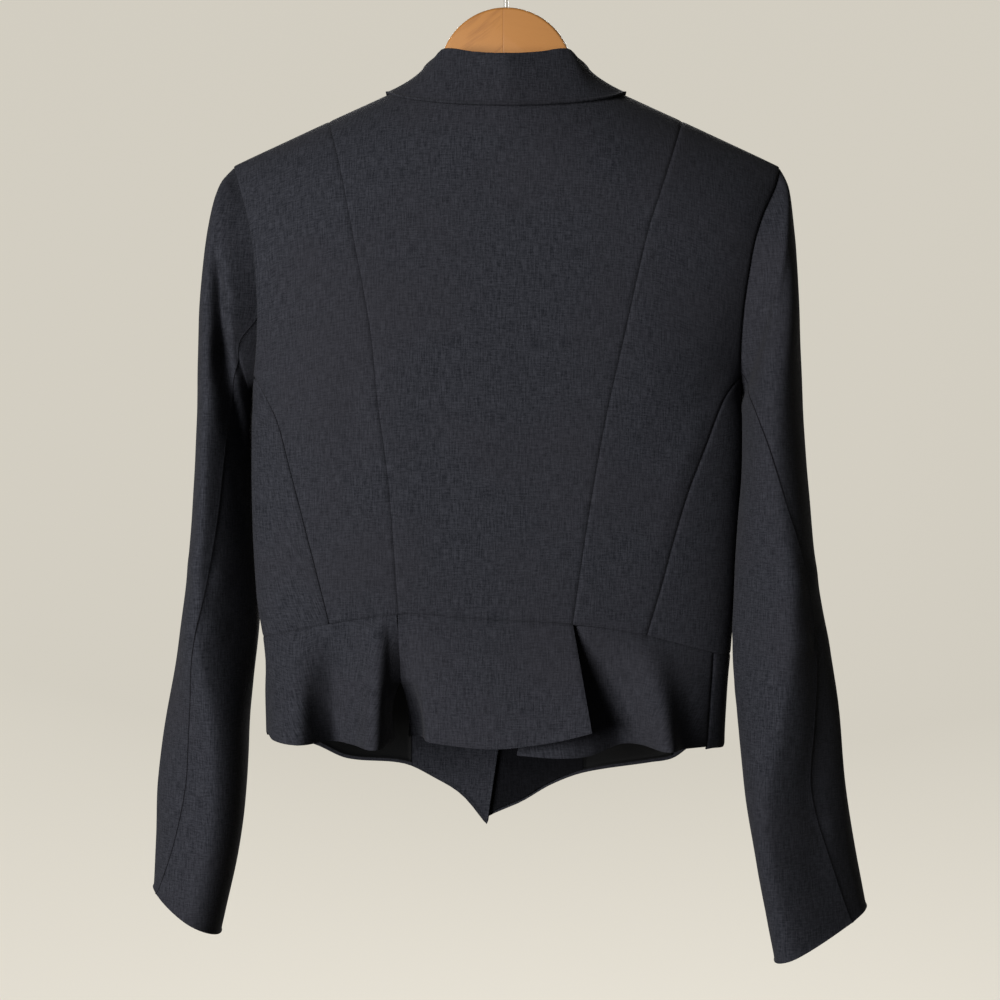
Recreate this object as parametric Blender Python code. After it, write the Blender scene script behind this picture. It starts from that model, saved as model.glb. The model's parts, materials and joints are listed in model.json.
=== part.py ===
"""A cropped blazer with a flared back peplum, hung on a wooden hanger.

Frame: metres, +Z up. The blazer's back faces -Y, and +X is to the right as seen from behind it.
The origin is the inside top of the hanger's hook. All sizes below are in millimetres.
Angles round the body start at its right side and run by the front to the left side and the back.
"""

import functools
import math

import bmesh
import bpy
from mathutils import Vector

# Driving sizes
MM = 0.001
SMOOTH_UP_TO = math.radians(45)
CLOTH = 1.8
COLLAR_CLOTH = 1.5
INNER_CLOTH = 1.1
SEAM_GAP = 0.3
CURVED_SEAM_GAP = 1.25
LAYER_GAP = 0.8
INSIDE_GAP = 0.7
SHOULDER_APEX = -87.0
SHOULDER_SLOPE = 0.457
SHOULDER_RADIUS = 90.0
SHOULDER_TOP_DROP = 0.01
BODY_ROUNDNESS = 0.8
NECK_Z = -121.0
NECK_HALF_WIDTH = 74.4
ARMHOLE_TOP_Z = -179.8
ARMHOLE_LOW_Z = -345.0
SIDE_TOP_Z = -336.0
SIDE_TOP_EASE = 3.1
SIDE_SEAM_BLEND = 60.0
MIDDLE_Z = -450.0
FRONT_SEAM_ANGLE = 15.0
PEPLUM_FLARE = 1.0
FRONT_OVERLAP_LIFT = 4.4
FRONT_OVERLAP_REACH = 95.0
PANEL_LOWEST_Z, PANEL_HIGHEST_Z = -700.0, -90.0
FACING_TOP_Z = -560.0
FACING_EDGE_X = {"left": -73.0, "right": 60.0}
LINING_EDGE_X = {"left": -150.0, "right": 128.0}
LAPEL_LOW_Z = {"left": -374.0, "right": -431.0}
NOTCH_GAP, NOTCH_SLANT = 4.0, 20.0
HEM_ALLOWANCE = 5.0
BUTTON_RADIUS = 10.0
BUTTON_THICK = 3.6
BUTTON_ROUND = 1.0
BUTTON_SIDES = 24
BUTTON_X, BUTTON_Z = -6.0, -462.0
HANGER_HALF_LENGTH = 178.0
HANGER_HALF_THICK = 6.5
HANGER_EDGE = 2.0
HANGER_DROP = 4.7
HANGER_DOME_RADIUS = 50.0
HANGER_DOME_Z = -110.0
HANGER_DOME_TURN, HANGER_DOME_STEPS = 72.0, 12
HANGER_THROAT_X, HANGER_THROAT_DROP = 52.0, 7.7
HANGER_NECK_HALF = 58.0
HANGER_ARM_STEPS = 6
HANGER_MIDDLE_DEEP = 34.0
HANGER_END_DEEP = 17.0
HOOK_WIRE_RADIUS = 1.75
HOOK_INNER_RADIUS = 17.0
HOOK_START, HOOK_STEP, HOOK_POINTS = -48.0, 14.0, 18
# The hook's stem: how far to the side, and how far above the dome
HOOK_STEM = ((0, 0.3), (0, 8), (0.6, 14), (3.6, 20.5))
FRONT_SEAM_TURN = math.radians(250)
SEAM_TURN_STEP = math.radians(0.25)
SLEEVE_SEAM_GAP = 0.8
COLLAR_FALL = 18.0
COLLAR_EDGE_HALF = 88.0
COLLAR_FOLD_INSIDE = 2.5
COLLAR_FOLD_OUTSIDE = 3.0
COLLAR_FOLD_DROP = 4.0
COLLAR_SHARES = (0, 0.25, 0.36, 0.47, 0.72, 1)
COLLAR_FRONT_END_Z = -174.0
COLLAR_FRONT_EDGE = (106.0, -186.0)


def smooth_between(keys, values, key):
    """The value at key on a smooth curve through the rows, which holds still beyond both ends."""
    if key <= keys[0]:
        return values[0]
    if key >= keys[-1]:
        return values[-1]
    index = max(i for i in range(len(keys) - 1) if keys[i] <= key)

    def slope(i):
        low, high = max(i - 1, 0), min(i + 1, len(keys) - 1)
        return (values[high] - values[low]) / (keys[high] - keys[low])

    width = keys[index + 1] - keys[index]
    t = (key - keys[index]) / width
    return (
        values[index] * (1 + 2 * t) * (1 - t) ** 2
        + values[index + 1] * t * t * (3 - 2 * t)
        + slope(index) * width * t * (1 - t) ** 2
        + slope(index + 1) * width * t * t * (t - 1)
    )


class Table:
    """A short table with named columns. The first column is the one that it is read by."""

    def __init__(self, columns, *rows):
        self.names = columns.split()
        self.rows = sorted(rows)
        self.keys = [row[0] for row in self.rows]
        self.columns = {name: [row[i] for row in self.rows] for i, name in enumerate(self.names)}

    def read(self, name, key):
        return smooth_between(self.keys, self.columns[name], key)


# Level sections of the body: where its sides are, and how far its back and front stand from the middle
BODY = Table(
    "z left right back front",
    (-120, -214, 214, 62, 55),
    (-180, -213, 211, 66, 58),
    (-250, -204, 200, 68, 62),
    (-300, -194, 185, 66, 63),
    (-345, -188, 174, 63, 62),
    (-400, -188.5, 172.6, 60, 59),
    (-450, -188, 170.2, 57, 56),
    (-500, -185, 168.4, 53, 52),
    (-540, -179, 166.5, 50, 50),
    (-575, -178.5, 163.5, 51.5, 50.5),
    (-610, -178, 162, 53, 51),
    (-690, -178, 162, 54, 50),
)
ARMHOLE = Table(
    "z left right",
    (-180, -203, 204),
    (-196, -197, 199),
    (-219, -190, 188),
    (-240, -185.5, 181),
    (-262, -183, 177),
    (-289, -182, 173.5),
    (-322, -184, 172),
    (-345, -188, 174),
)
PRINCESS_LEFT = Table(
    "z x",
    (-120, -139),
    (-148, -131),
    (-189, -120),
    (-250, -108),
    (-306, -98),
    (-356, -93),
    (-418, -85),
    (-515, -78),
)
PRINCESS_RIGHT = Table(
    "z x", (-120, 139), (-149, 130), (-201, 113), (-235, 102), (-306, 86), (-374, 71), (-450, 58), (-520, 48)
)
SIDE_BACK_LEFT = Table(
    "z x",
    (-336, -186),
    (-350, -177.5),
    (-371, -167),
    (-402, -158.5),
    (-442, -148),
    (-505, -132),
    (-522, -128),
)
SIDE_BACK_RIGHT = Table(
    "z x", (-336, 172.5), (-355, 159), (-391, 144.5), (-422, 132.5), (-458, 121.5), (-488, 113.5), (-527, 102)
)
WAIST = Table(
    "x z",
    (-180, -530),
    (-129, -519),
    (-78, -511.5),
    (-53, -511.5),
    (-30, -514),
    (48, -519),
    (96, -526),
    (160, -543),
)
FRONT_EDGE_LEFT = Table(
    "z x", (-121, -74.4), (-280, -38), (-400, -5), (-470, 6), (-560, 3), (-622, -6), (-679, -14.5)
)
FRONT_EDGE_RIGHT = Table(
    "z x", (-121, 74.4), (-280, 32), (-400, -6), (-470, -19), (-560, -20), (-622, -19), (-674, -15)
)
HEM_LEFT = Table(
    "x z", (-178, -604), (-145, -616), (-122, -627), (-78, -632), (-55, -643), (-33, -657), (-14, -680)
)
HEM_RIGHT = Table(
    "x z",
    (-16, -675),
    (-9, -671),
    (12, -662),
    (34, -649),
    (60, -639),
    (111, -630),
    (128, -626),
    (146, -612.5),
    (162, -612),
)
LAPEL_LEFT = Table("z x", (-174, -106), (-204, -113), (-290, -86), (-375, -26))
LAPEL_RIGHT = Table("z x", (-174, 106), (-204, 113), (-300, 82), (-432, 2))
PEPLUM_SEAM_LEFT = Table("z x", (-530, -178.6), (-604, -178))
PEPLUM_SEAM_RIGHT = Table("z x", (-541, 152.4), (-612, 147.2))
# The collar's stand at turns from the centre back, in degrees: its height, and how far it leans out.
# The first row repeats the third, which keeps the fold level at the centre back.
COLLAR_STAND = Table(
    "turn height lean",
    (-20, 20.3, 1),
    (0, 18, 1.5),
    (20, 20.3, 1),
    (40, 24.3, 0),
    (50, 18.8, -1.5),
    (70, 14.5, -4.5),
    (90, 10, -7.5),
    (130, 7, -4),
    (180, 4, 0),
)

# Folds of the peplum from left to right: where each starts at the waist, how far it tucks in there,
# and where its hem hangs
FOLD_COLUMNS = "fold waist_x tuck hem_x hem_y hem_z"
PEPLUM_LEFT = Table(
    FOLD_COLUMNS,
    (0, -178, 0, -177.5, -5, -602),
    (1, -166, 0, -168, -45, -604),
    (2, -150, 0, -149, -66, -605),
    (3, -128, 0, -127, -34, -605),
    (4, -104, 0, -110, -52, -606),
    (5, -92, 0, -95, -80, -607),
    (6, -86, 0, -84, -54, -605),
    (7, -79.5, 0, -76.5, -34, -604),
)
PEPLUM_CENTRE = Table(
    FOLD_COLUMNS,
    (0, -78.7, 0, -75, -33.5, -604),
    (1, -72, 0, -66, -38, -603),
    (2, -60, 0, -53, -57, -604),
    (3, -25, 0, -10, -71, -607),
    (4, 15, 0, 32, -76, -602),
    (5, 48, -1, 61, -80, -595),
)
PEPLUM_RIGHT = Table(
    FOLD_COLUMNS,
    (0, 30, 4.5, 8, -58, -613),
    (1, 40, 4.5, 38, -60, -615),
    (2, 50, 3.5, 60, -52, -614),
    (3, 58, 0, 84, -34, -607),
    (4, 80, 0, 99, -48, -606),
    (5, 104, 0, 116, -76, -609),
    (6, 124, 0, 127.5, -54, -609),
    (7, 151.5, 0, 145.5, -27, -610),
)

# Sleeve sections from the armhole to the cuff: their outer and inner points as seen from behind, and their
# middle and half-depth front to back. Shares across run from 1 at the outer point to -1 at the inner one:
# the back seam, the ridge that stands out furthest, and a fold that sinks in. A crisp section has flat sides.
SLEEVE_COLUMNS = "ring outer_x outer_z inner_x inner_z mid_y deep seam ridge crisp fold fold_deep"
SLEEVE_LEFT = Table(
    SLEEVE_COLUMNS,
    (0, -203, -180, -188, -345, 0, 40, -0.39, 0, 1, 0.95, 0),
    (1, -213, -193, -190.5, -350, 1, 47, -0.53, 0.15, 1, 0.6, 4),
    (2, -221, -223, -190, -358, 5, 53, -0.52, 0.3, 1.05, 0.25, 12),
    (3, -227, -271, -189.8, -370, 10, 57, -0.4, 0.35, 1.1, -0.02, 17),
    (4, -229.5, -320, -189.8, -386, 14, 59, -0.28, 0.4, 1.15, -0.5, 14),
    (5, -231.5, -372, -189.8, -413, 17, 58, -0.14, 0.42, 1.2, -0.85, 10),
    (6, -235, -430, -189.6, -452, 20, 56, 0.02, 0.42, 1.25, -1, 7),
    (7, -240, -486, -188, -497, 22, 54, 0.25, 0.42, 1.25, -1, 4),
    (8, -248.5, -541, -190, -543, 24, 52, 0.41, 0.25, 1.25, -1, 2),
    (9, -259, -592, -194.6, -594, 26, 50, 0.27, -0.25, 1.25, -0.5, 0),
    (10, -266.5, -642, -197.4, -646, 28, 48, 0.21, -0.4, 1.25, -0.5, 0),
    (11, -268.7, -688, -204, -698, 31, 46, 0.44, -0.4, 1.2, -0.5, 0),
    (12, -270.3, -724, -217.5, -757, 33, 44, 0.8, -0.3, 1.1, -0.5, 0),
)
SLEEVE_RIGHT = Table(
    SLEEVE_COLUMNS,
    (0, 204, -180, 174, -345, 0, 40, -0.85, 0, 1, 0.3, 0),
    (1, 211, -196, 177, -350, -5, 47, -0.85, 0, 1, 0.3, 1),
    (2, 215.5, -228, 174.5, -358, -12, 52, -0.76, 0, 1, 0.25, 2.5),
    (3, 217, -270, 174, -370, -20, 55, -0.55, 0, 1.02, 0, 2),
    (4, 217.5, -315, 173.4, -388, -26, 56, -0.36, 0, 1.05, -0.2, 1),
    (5, 219, -368, 172.8, -414, -30, 55.5, -0.02, 0.05, 1.1, -0.2, 0),
    (6, 222, -420, 170.2, -449, -32, 54.8, 0.36, 0.1, 1.1, 0.3, 0),
    (7, 227, -478, 168.2, -494, -32, 52.8, 0.74, 0.16, 1.2, 0.8, 2),
    (8, 238.4, -539, 166.5, -541, -31, 50, 0.6, 0.05, 1.3, 0.7, 4),
    (9, 246.5, -591, 170.5, -591, -28, 48, 0.38, -0.28, 1.25, 0.6, 3),
    (10, 253.4, -641, 174.2, -641, -25, 46, 0.2, -0.48, 1.15, 0.3, 0),
    (11, 262.4, -688, 182.4, -696, -22, 44, 0.36, -0.52, 1.08, 0.1, 0),
    (12, 270.4, -732, 196.4, -765, -20, 42, 0.57, -0.42, 1.05, 0, 0),
)
LAST_RING = 12
FOLD_WIDE = 0.34
SECTION_STEPS = 72


# Body surface
def signed_power(value, power):
    return math.copysign(abs(value) ** power, value)


def shoulder_z(x):
    return SHOULDER_APEX - SHOULDER_SLOPE * abs(x)


def shoulder_rounding(drop):
    """How much of the body's depth is reached this far below the shoulder line: a quarter round."""
    left = 1 - min(max(drop / SHOULDER_RADIUS, 0), 1)
    return math.sqrt(1 - left * left)


def body_point(angle, z):
    left, right = BODY.read("left", z), BODY.read("right", z)
    sine = math.sin(angle)
    x = (left + right) / 2 + (right - left) / 2 * signed_power(math.cos(angle), BODY_ROUNDNESS)
    deep = BODY.read("back" if sine < 0 else "front", z)
    y = deep * signed_power(sine, BODY_ROUNDNESS) * shoulder_rounding(shoulder_z(x) - z)
    return Vector((x, y, z))


def body_normal(angle, z):
    """Points out of the body. The height step goes down only, so that it never leaves the shoulder line."""
    turn, drop = 0.002, 0.2
    across = body_point(angle + turn, z) - body_point(angle - turn, z)
    up = body_point(angle, z) - body_point(angle, z - drop)
    return across.cross(up).normalized()


def angle_at(x, z, back=True):
    left, right = BODY.read("left", z), BODY.read("right", z)
    share = (x - (left + right) / 2) / ((right - left) / 2)
    share = max(-0.99999, min(0.99999, share))
    angle = math.acos(signed_power(share, 1 / BODY_ROUNDNESS))
    return 2 * math.pi - angle if back else angle


def seam_angle(table, column="x", back=True):
    return lambda z: angle_at(table.read(column, z), z, back)


def inset(angle, z, distance):
    """An angle moved round the body by a distance."""
    step = 0.001
    speed = (body_point(angle + step, z) - body_point(angle - step, z)).length / (2 * step)
    return angle + distance / speed


def edge_height(edge, column):
    """The height where a column of a panel meets an edge that is given as a height for each x."""
    low, high = PANEL_LOWEST_Z, PANEL_HIGHEST_Z
    for _ in range(40):
        middle = (low + high) / 2
        if middle < edge(body_point(column(middle), middle).x):
            low = middle
        else:
            high = middle
    return (low + high) / 2


# Making solids
def no_lift(x):
    return 0.0


def material(name, colour, roughness, metallic=0.0):
    made = bpy.data.materials.new(name)
    made.use_nodes = True
    shader = made.node_tree.nodes["Principled BSDF"]
    shader.inputs["Base Color"].default_value = (*colour, 1)
    shader.inputs["Roughness"].default_value = roughness
    shader.inputs["Metallic"].default_value = metallic
    return made


def add_object(name, data, finish):
    data.materials.append(finish)
    piece = bpy.data.objects.new(name, data)
    blazer.objects.link(piece)
    return piece


def shell(name, point, inward, columns, rows, finish):
    """A grid laid on a surface and extruded inwards. Both functions take shares across and down, 0 to 1."""
    mesh = bmesh.new()
    wall = mesh.verts.layers.float_vector.new("wall")
    bmesh.ops.create_grid(mesh, x_segments=columns, y_segments=rows, size=0.5)
    for corner in mesh.verts:
        across, down = corner.co.x + 0.5, 0.5 - corner.co.y
        corner[wall] = inward(across, down) * MM
        corner.co = point(across, down) * MM
    grown = bmesh.ops.extrude_face_region(mesh, geom=mesh.faces[:], use_keep_orig=True)
    for corner in grown["geom"]:
        if isinstance(corner, bmesh.types.BMVert):
            corner.co += corner[wall]
    bmesh.ops.recalc_face_normals(mesh, faces=mesh.faces[:])
    data = bpy.data.meshes.new(name)
    mesh.to_mesh(data)
    mesh.free()
    data.shade_smooth()
    data.set_sharp_from_angle(angle=SMOOTH_UP_TO)
    return add_object(name, data, finish)


def surface_normal(point, across, down, flip):
    step = 0.002
    wide = point(min(across + step, 1), down) - point(max(across - step, 0), down)
    long = point(across, min(down + step, 1)) - point(across, max(down - step, 0))
    return long.cross(wide).normalized() * flip


def body_panel(name, start, end, top, bottom, size, finish, lift=no_lift, wall=CLOTH, crowd=1.0, ease=0.0):
    """A panel on the body between two seams, given as angles for each height, and two edges.

    lift moves it out of the body, crowd gathers its rows towards the top, and ease widens its first
    seam's gap.
    """
    half_gap = SEAM_GAP / 2
    turn = 1 if end(MIDDLE_Z) > start(MIDDLE_Z) else -1
    columns, rows = size
    heights = {}

    def column(across):
        def angle(z):
            first = inset(start(z), z, turn * (half_gap + ease))
            last = inset(end(z), z, -turn * half_gap)
            return first + (last - first) * across

        return angle

    def place(across, down):
        angle = column(across)
        if across not in heights:
            heights[across] = (edge_height(top, angle), edge_height(bottom, angle))
        high, low = heights[across]
        z = high + (low - high) * down**crowd
        return angle(z), z

    def point(across, down):
        angle, z = place(across, down)
        outer = body_point(angle, z)
        return outer + body_normal(angle, z) * lift(outer.x)

    def inward(across, down):
        return body_normal(*place(across, down)) * -wall

    return shell(name, point, inward, columns, rows, finish)


# Edges of the body's panels
def shoulder_edge(x):
    return min(shoulder_z(x) - SHOULDER_TOP_DROP, NECK_Z)


def waist_edge(x):
    return WAIST.read("z", x) + SEAM_GAP / 2


def under_waist_edge(x):
    return WAIST.read("z", x) - SEAM_GAP / 2


def steps(upper, lower, z_change):
    """Two seams that follow each other down, as one."""
    return lambda z: upper(z) if z > z_change else lower(z)


def side_seam(degrees, left):
    """A seam this far to the front of the body's side."""
    turned = math.radians(180 - degrees if left else degrees)
    return lambda z: turned


def make_back():
    armhole_left = steps(seam_angle(ARMHOLE, "left"), seam_angle(SIDE_BACK_LEFT), SIDE_TOP_Z)
    armhole_right = steps(seam_angle(ARMHOLE, "right"), seam_angle(SIDE_BACK_RIGHT), SIDE_TOP_Z)
    princess_left, princess_right = seam_angle(PRINCESS_LEFT), seam_angle(PRINCESS_RIGHT)
    for name, start, end, size in (
        ("back_side_left", armhole_left, princess_left, (7, 26)),
        ("back_centre", princess_left, princess_right, (12, 26)),
        ("back_side_right", princess_right, armhole_right, (7, 26)),
    ):
        body_panel(name, start, end, shoulder_edge, waist_edge, size, suiting, crowd=1.5)


def side_back_seam(table, left):
    """A seam on the back, with its angles on from those of the front on the same side."""
    seam = seam_angle(table)
    return lambda z: seam(z) - (0 if left else math.tau)


def side_front_seam(left):
    """The front panels' outer edge: the armhole, then the side seam."""
    under = side_seam(FRONT_SEAM_ANGLE, left)
    armhole = seam_angle(ARMHOLE, "left" if left else "right", back=False)
    joined = armhole(SIDE_TOP_Z)

    def lower(z):
        share = min((SIDE_TOP_Z - z) / SIDE_SEAM_BLEND, 1)
        return joined + (under(z) - joined) * share

    return steps(armhole, lower, SIDE_TOP_Z)


def make_sides():
    for left, table in ((True, SIDE_BACK_LEFT), (False, SIDE_BACK_RIGHT)):
        back_seam = side_back_seam(table, left)
        middle = BODY.read("left" if left else "right", ARMHOLE_LOW_Z)
        corner = table.read("x", SIDE_TOP_Z)

        def top(x, middle=middle, corner=corner):
            share = min(max((x - middle) / (corner - middle), 0), 1)
            return ARMHOLE_LOW_Z + (SIDE_TOP_Z - ARMHOLE_LOW_Z) * share - SIDE_TOP_EASE

        name = "side_left" if left else "side_right"
        front_seam = side_front_seam(left)
        body_panel(name, back_seam, front_seam, top, waist_edge, (7, 18), suiting, ease=2 * SEAM_GAP)


def over_lift(x):
    """The right front lies over the left one, so it stands out where they meet."""
    share = min(max(x / FRONT_OVERLAP_REACH, 0), 1)
    return FRONT_OVERLAP_LIFT * (1 - share * share * (3 - 2 * share))


def front_parts():
    """For each front: its side, its edge, its hem and how far it stands out."""
    return (
        ("left", FRONT_EDGE_LEFT, HEM_LEFT, no_lift),
        ("right", FRONT_EDGE_RIGHT, HEM_RIGHT, over_lift),
    )


def make_fronts():
    for side, edge, hem, lift in front_parts():
        body_panel(
            "front_" + side,
            side_front_seam(side == "left"),
            seam_angle(edge, back=False),
            shoulder_edge,
            lambda x, hem=hem: hem.read("z", x),
            (9, 27),
            suiting,
            lift=lift,
            crowd=1.3,
        )


def make_front_insides():
    """The cloth facing and the lining that show inside the fronts, below the back."""
    for side, edge, hem, lift in front_parts():
        parting = Table("z x", (PANEL_LOWEST_Z, FACING_EDGE_X[side]), (PANEL_HIGHEST_Z, FACING_EDGE_X[side]))
        outer = Table("z x", (PANEL_LOWEST_Z, LINING_EDGE_X[side]), (PANEL_HIGHEST_Z, LINING_EDGE_X[side]))
        for name, start, end, size in (
            ("facing_", parting, edge, (4, 6)),
            ("lining_", outer, parting, (4, 5)),
        ):
            body_panel(
                name + side,
                seam_angle(start, back=False),
                seam_angle(end, back=False),
                lambda x: FACING_TOP_Z,
                lambda x, hem=hem: hem.read("z", x) + HEM_ALLOWANCE,
                size,
                suiting if name == "facing_" else lining,
                lift=lambda x, lift=lift: lift(x) - CLOTH - INSIDE_GAP,
                wall=INNER_CLOTH,
            )


def make_lapels():
    for side, edge, outline, lift in (
        ("left", FRONT_EDGE_LEFT, LAPEL_LEFT, no_lift),
        ("right", FRONT_EDGE_RIGHT, LAPEL_RIGHT, over_lift),
    ):
        roll = seam_angle(edge, back=False)
        outer = seam_angle(outline, back=False)

        def place(across, down, roll=roll, outer=outer, low=LAPEL_LOW_Z[side]):
            high = COLLAR_FRONT_END_Z - NOTCH_GAP - NOTCH_SLANT * across
            z = high + (low - high) * down
            return roll(z) + (outer(z) - roll(z)) * across, z

        def point(across, down, place=place, lift=lift):
            angle, z = place(across, down)
            on_front = body_point(angle, z)
            return on_front + body_normal(angle, z) * (lift(on_front.x) + LAYER_GAP + COLLAR_CLOTH)

        def inward(across, down, place=place):
            return body_normal(*place(across, down)) * -COLLAR_CLOTH

        shell("lapel_" + side, point, inward, 4, 10, suiting)


def make_button():
    angle = angle_at(BUTTON_X, BUTTON_Z, back=False)
    seat = body_point(angle, BUTTON_Z)
    out = body_normal(angle, BUTTON_Z)
    middle = seat + out * (over_lift(BUTTON_X) + LAYER_GAP + BUTTON_THICK / 2)
    mesh = bmesh.new()
    bmesh.ops.create_cone(
        mesh,
        cap_ends=True,
        segments=BUTTON_SIDES,
        radius1=BUTTON_RADIUS * MM,
        radius2=BUTTON_RADIUS * MM,
        depth=BUTTON_THICK * MM,
    )
    rims = [edge for edge in mesh.edges if abs(edge.verts[0].co.z - edge.verts[1].co.z) < BUTTON_ROUND * MM]
    bmesh.ops.bevel(mesh, geom=rims, offset=BUTTON_ROUND * MM, segments=2, profile=0.5, affect="EDGES")
    data = bpy.data.meshes.new("button")
    mesh.to_mesh(data)
    mesh.free()
    data.shade_smooth()
    data.set_sharp_from_angle(angle=SMOOTH_UP_TO)
    piece = add_object("button", data, horn)
    piece.rotation_euler = out.to_track_quat("Z", "Y").to_euler()
    piece.location = middle * MM


# Peplum
def make_peplum():
    for name, folds, columns in (
        ("peplum_left", PEPLUM_LEFT, 24),
        ("peplum_centre", PEPLUM_CENTRE, 14),
        ("peplum_right", PEPLUM_RIGHT, 24),
    ):
        last = folds.keys[-1]

        def point(across, down, folds=folds, last=last):
            fold = across * last
            waist_x = folds.read("waist_x", fold)
            z = under_waist_edge(waist_x)
            waist = body_point(angle_at(waist_x, z), z)
            waist.y += folds.read("tuck", fold)
            hem = Vector([folds.read(column, fold) for column in ("hem_x", "hem_y", "hem_z")])
            hung = waist.lerp(hem, down)
            hung.y = waist.y + (hem.y - waist.y) * down**PEPLUM_FLARE
            return hung

        def inward(across, down, point=point):
            return surface_normal(point, across, down, -1) * CLOTH

        shell(name, point, inward, columns, 6, suiting)

    for name, left, seam in (
        ("peplum_side_left", True, PEPLUM_SEAM_LEFT),
        ("peplum_side_right", False, PEPLUM_SEAM_RIGHT),
    ):
        hem = HEM_LEFT if left else HEM_RIGHT
        body_panel(
            name,
            side_back_seam(seam, left),
            side_seam(FRONT_SEAM_ANGLE, left),
            under_waist_edge,
            lambda x, hem=hem: hem.read("z", x),
            (5, 8),
            suiting,
        )


# Sleeves
def armhole_point(left, theta):
    """The sleeve's edge at the armhole, on the body's own surface, with that surface's normal."""
    middle, half = (ARMHOLE_TOP_Z + ARMHOLE_LOW_Z) / 2, (ARMHOLE_TOP_Z - ARMHOLE_LOW_Z) / 2
    z = middle + half * math.cos(theta)
    x = ARMHOLE.read("left" if left else "right", z)
    angle = angle_at(x, z, back=math.sin(theta) >= 0)
    outward = Vector((-CURVED_SEAM_GAP if left else CURVED_SEAM_GAP, 0, 0))
    return body_point(angle, z) + outward, body_normal(angle, z)


def section(theta, ridge, crisp):
    """A sleeve section's shares across and towards the back at a turn from its outer point."""
    back = signed_power(math.sin(theta), crisp)
    return math.sqrt(1 - ridge * ridge) * signed_power(math.cos(theta), crisp) + ridge * back, back


@functools.cache
def section_reach(ridge, crisp):
    """How far a section reaches across, before it is made to reach a share of 1."""
    return max(section(math.tau * i / SECTION_STEPS, ridge, crisp)[0] for i in range(SECTION_STEPS))


def ring_point(left, theta, ring):
    if ring == 0:
        return armhole_point(left, theta)[0]
    table = SLEEVE_LEFT if left else SLEEVE_RIGHT
    row = dict(zip(table.names, table.rows[ring]))
    outer = Vector((row["outer_x"], row["mid_y"], row["outer_z"]))
    inner = Vector((row["inner_x"], row["mid_y"], row["inner_z"]))
    across, back = section(theta, row["ridge"], row["crisp"])
    across /= section_reach(row["ridge"], row["crisp"])
    sunk = row["fold_deep"] * math.exp(-(((across - row["fold"]) / FOLD_WIDE) ** 2)) * max(back, 0)
    return (outer + inner) / 2 + (outer - inner) / 2 * across + Vector((0, sunk - row["deep"] * back, 0))


def sleeve_point(left, theta, along):
    """A point on the smooth sleeve, along it in rings."""
    first = min(int(along), LAST_RING - 1)
    near = [max(first - 1, 0), first, first + 1, min(first + 2, LAST_RING)]
    rings = [ring_point(left, theta, ring) for ring in near]
    keys = [-1, 0, 1, 2]
    return Vector([smooth_between(keys, [ring[i] for ring in rings], along - first) for i in range(3)])


def sleeve_normal(left, theta, along):
    """Points out of the sleeve."""
    turn, step = 0.03, 0.04
    across = sleeve_point(left, theta + turn, along) - sleeve_point(left, theta - turn, along)
    above, below = max(along - step, 0), min(along + step, LAST_RING)
    down = sleeve_point(left, theta, below) - sleeve_point(left, theta, above)
    return across.cross(down).normalized() * (1 if left else -1)


@functools.cache
def parted(left, seam, along, way):
    """A turn that is moved away from a seam until the cloth there is clear of it."""
    place = sleeve_point(left, seam, along)
    turn = seam
    while (sleeve_point(left, turn, along) - place).length < SLEEVE_SEAM_GAP / 2:
        turn += way * SEAM_TURN_STEP
    return turn


def seam_turn(table, along):
    """The turn where the back seam crosses the sleeve."""
    share, ridge, crisp = (table.read(column, along) for column in ("seam", "ridge", "crisp"))
    low, high = 0.0, math.pi
    for _ in range(30):
        middle = (low + high) / 2
        if section(middle, ridge, crisp)[0] > share * section_reach(ridge, crisp):
            low = middle
        else:
            high = middle
    return (low + high) / 2


def make_sleeves():
    for side in ("left", "right"):
        left = side == "left"
        table = SLEEVE_LEFT if left else SLEEVE_RIGHT

        def back_seam(along, table=table):
            return seam_turn(table, along)

        def front_seam(along):
            return FRONT_SEAM_TURN

        def front_seam_before(along):
            return FRONT_SEAM_TURN - math.tau

        for name, start, end, columns in (
            ("sleeve_top_", front_seam_before, back_seam, 14),
            ("sleeve_under_", back_seam, front_seam, 13),
        ):

            def theta_at(across, down, left=left, start=start, end=end):
                along = down * LAST_RING
                first, last = parted(left, start(along), along, 1), parted(left, end(along), along, -1)
                return first + (last - first) * across, along

            def point(across, down, left=left, theta_at=theta_at):
                return sleeve_point(left, *theta_at(across, down))

            def inward(across, down, left=left, theta_at=theta_at):
                if down == 0:
                    return armhole_point(left, theta_at(across, down)[0])[1] * -CLOTH
                return sleeve_normal(left, *theta_at(across, down)) * -CLOTH

            shell(name + side, point, inward, columns, 18, suiting)


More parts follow.
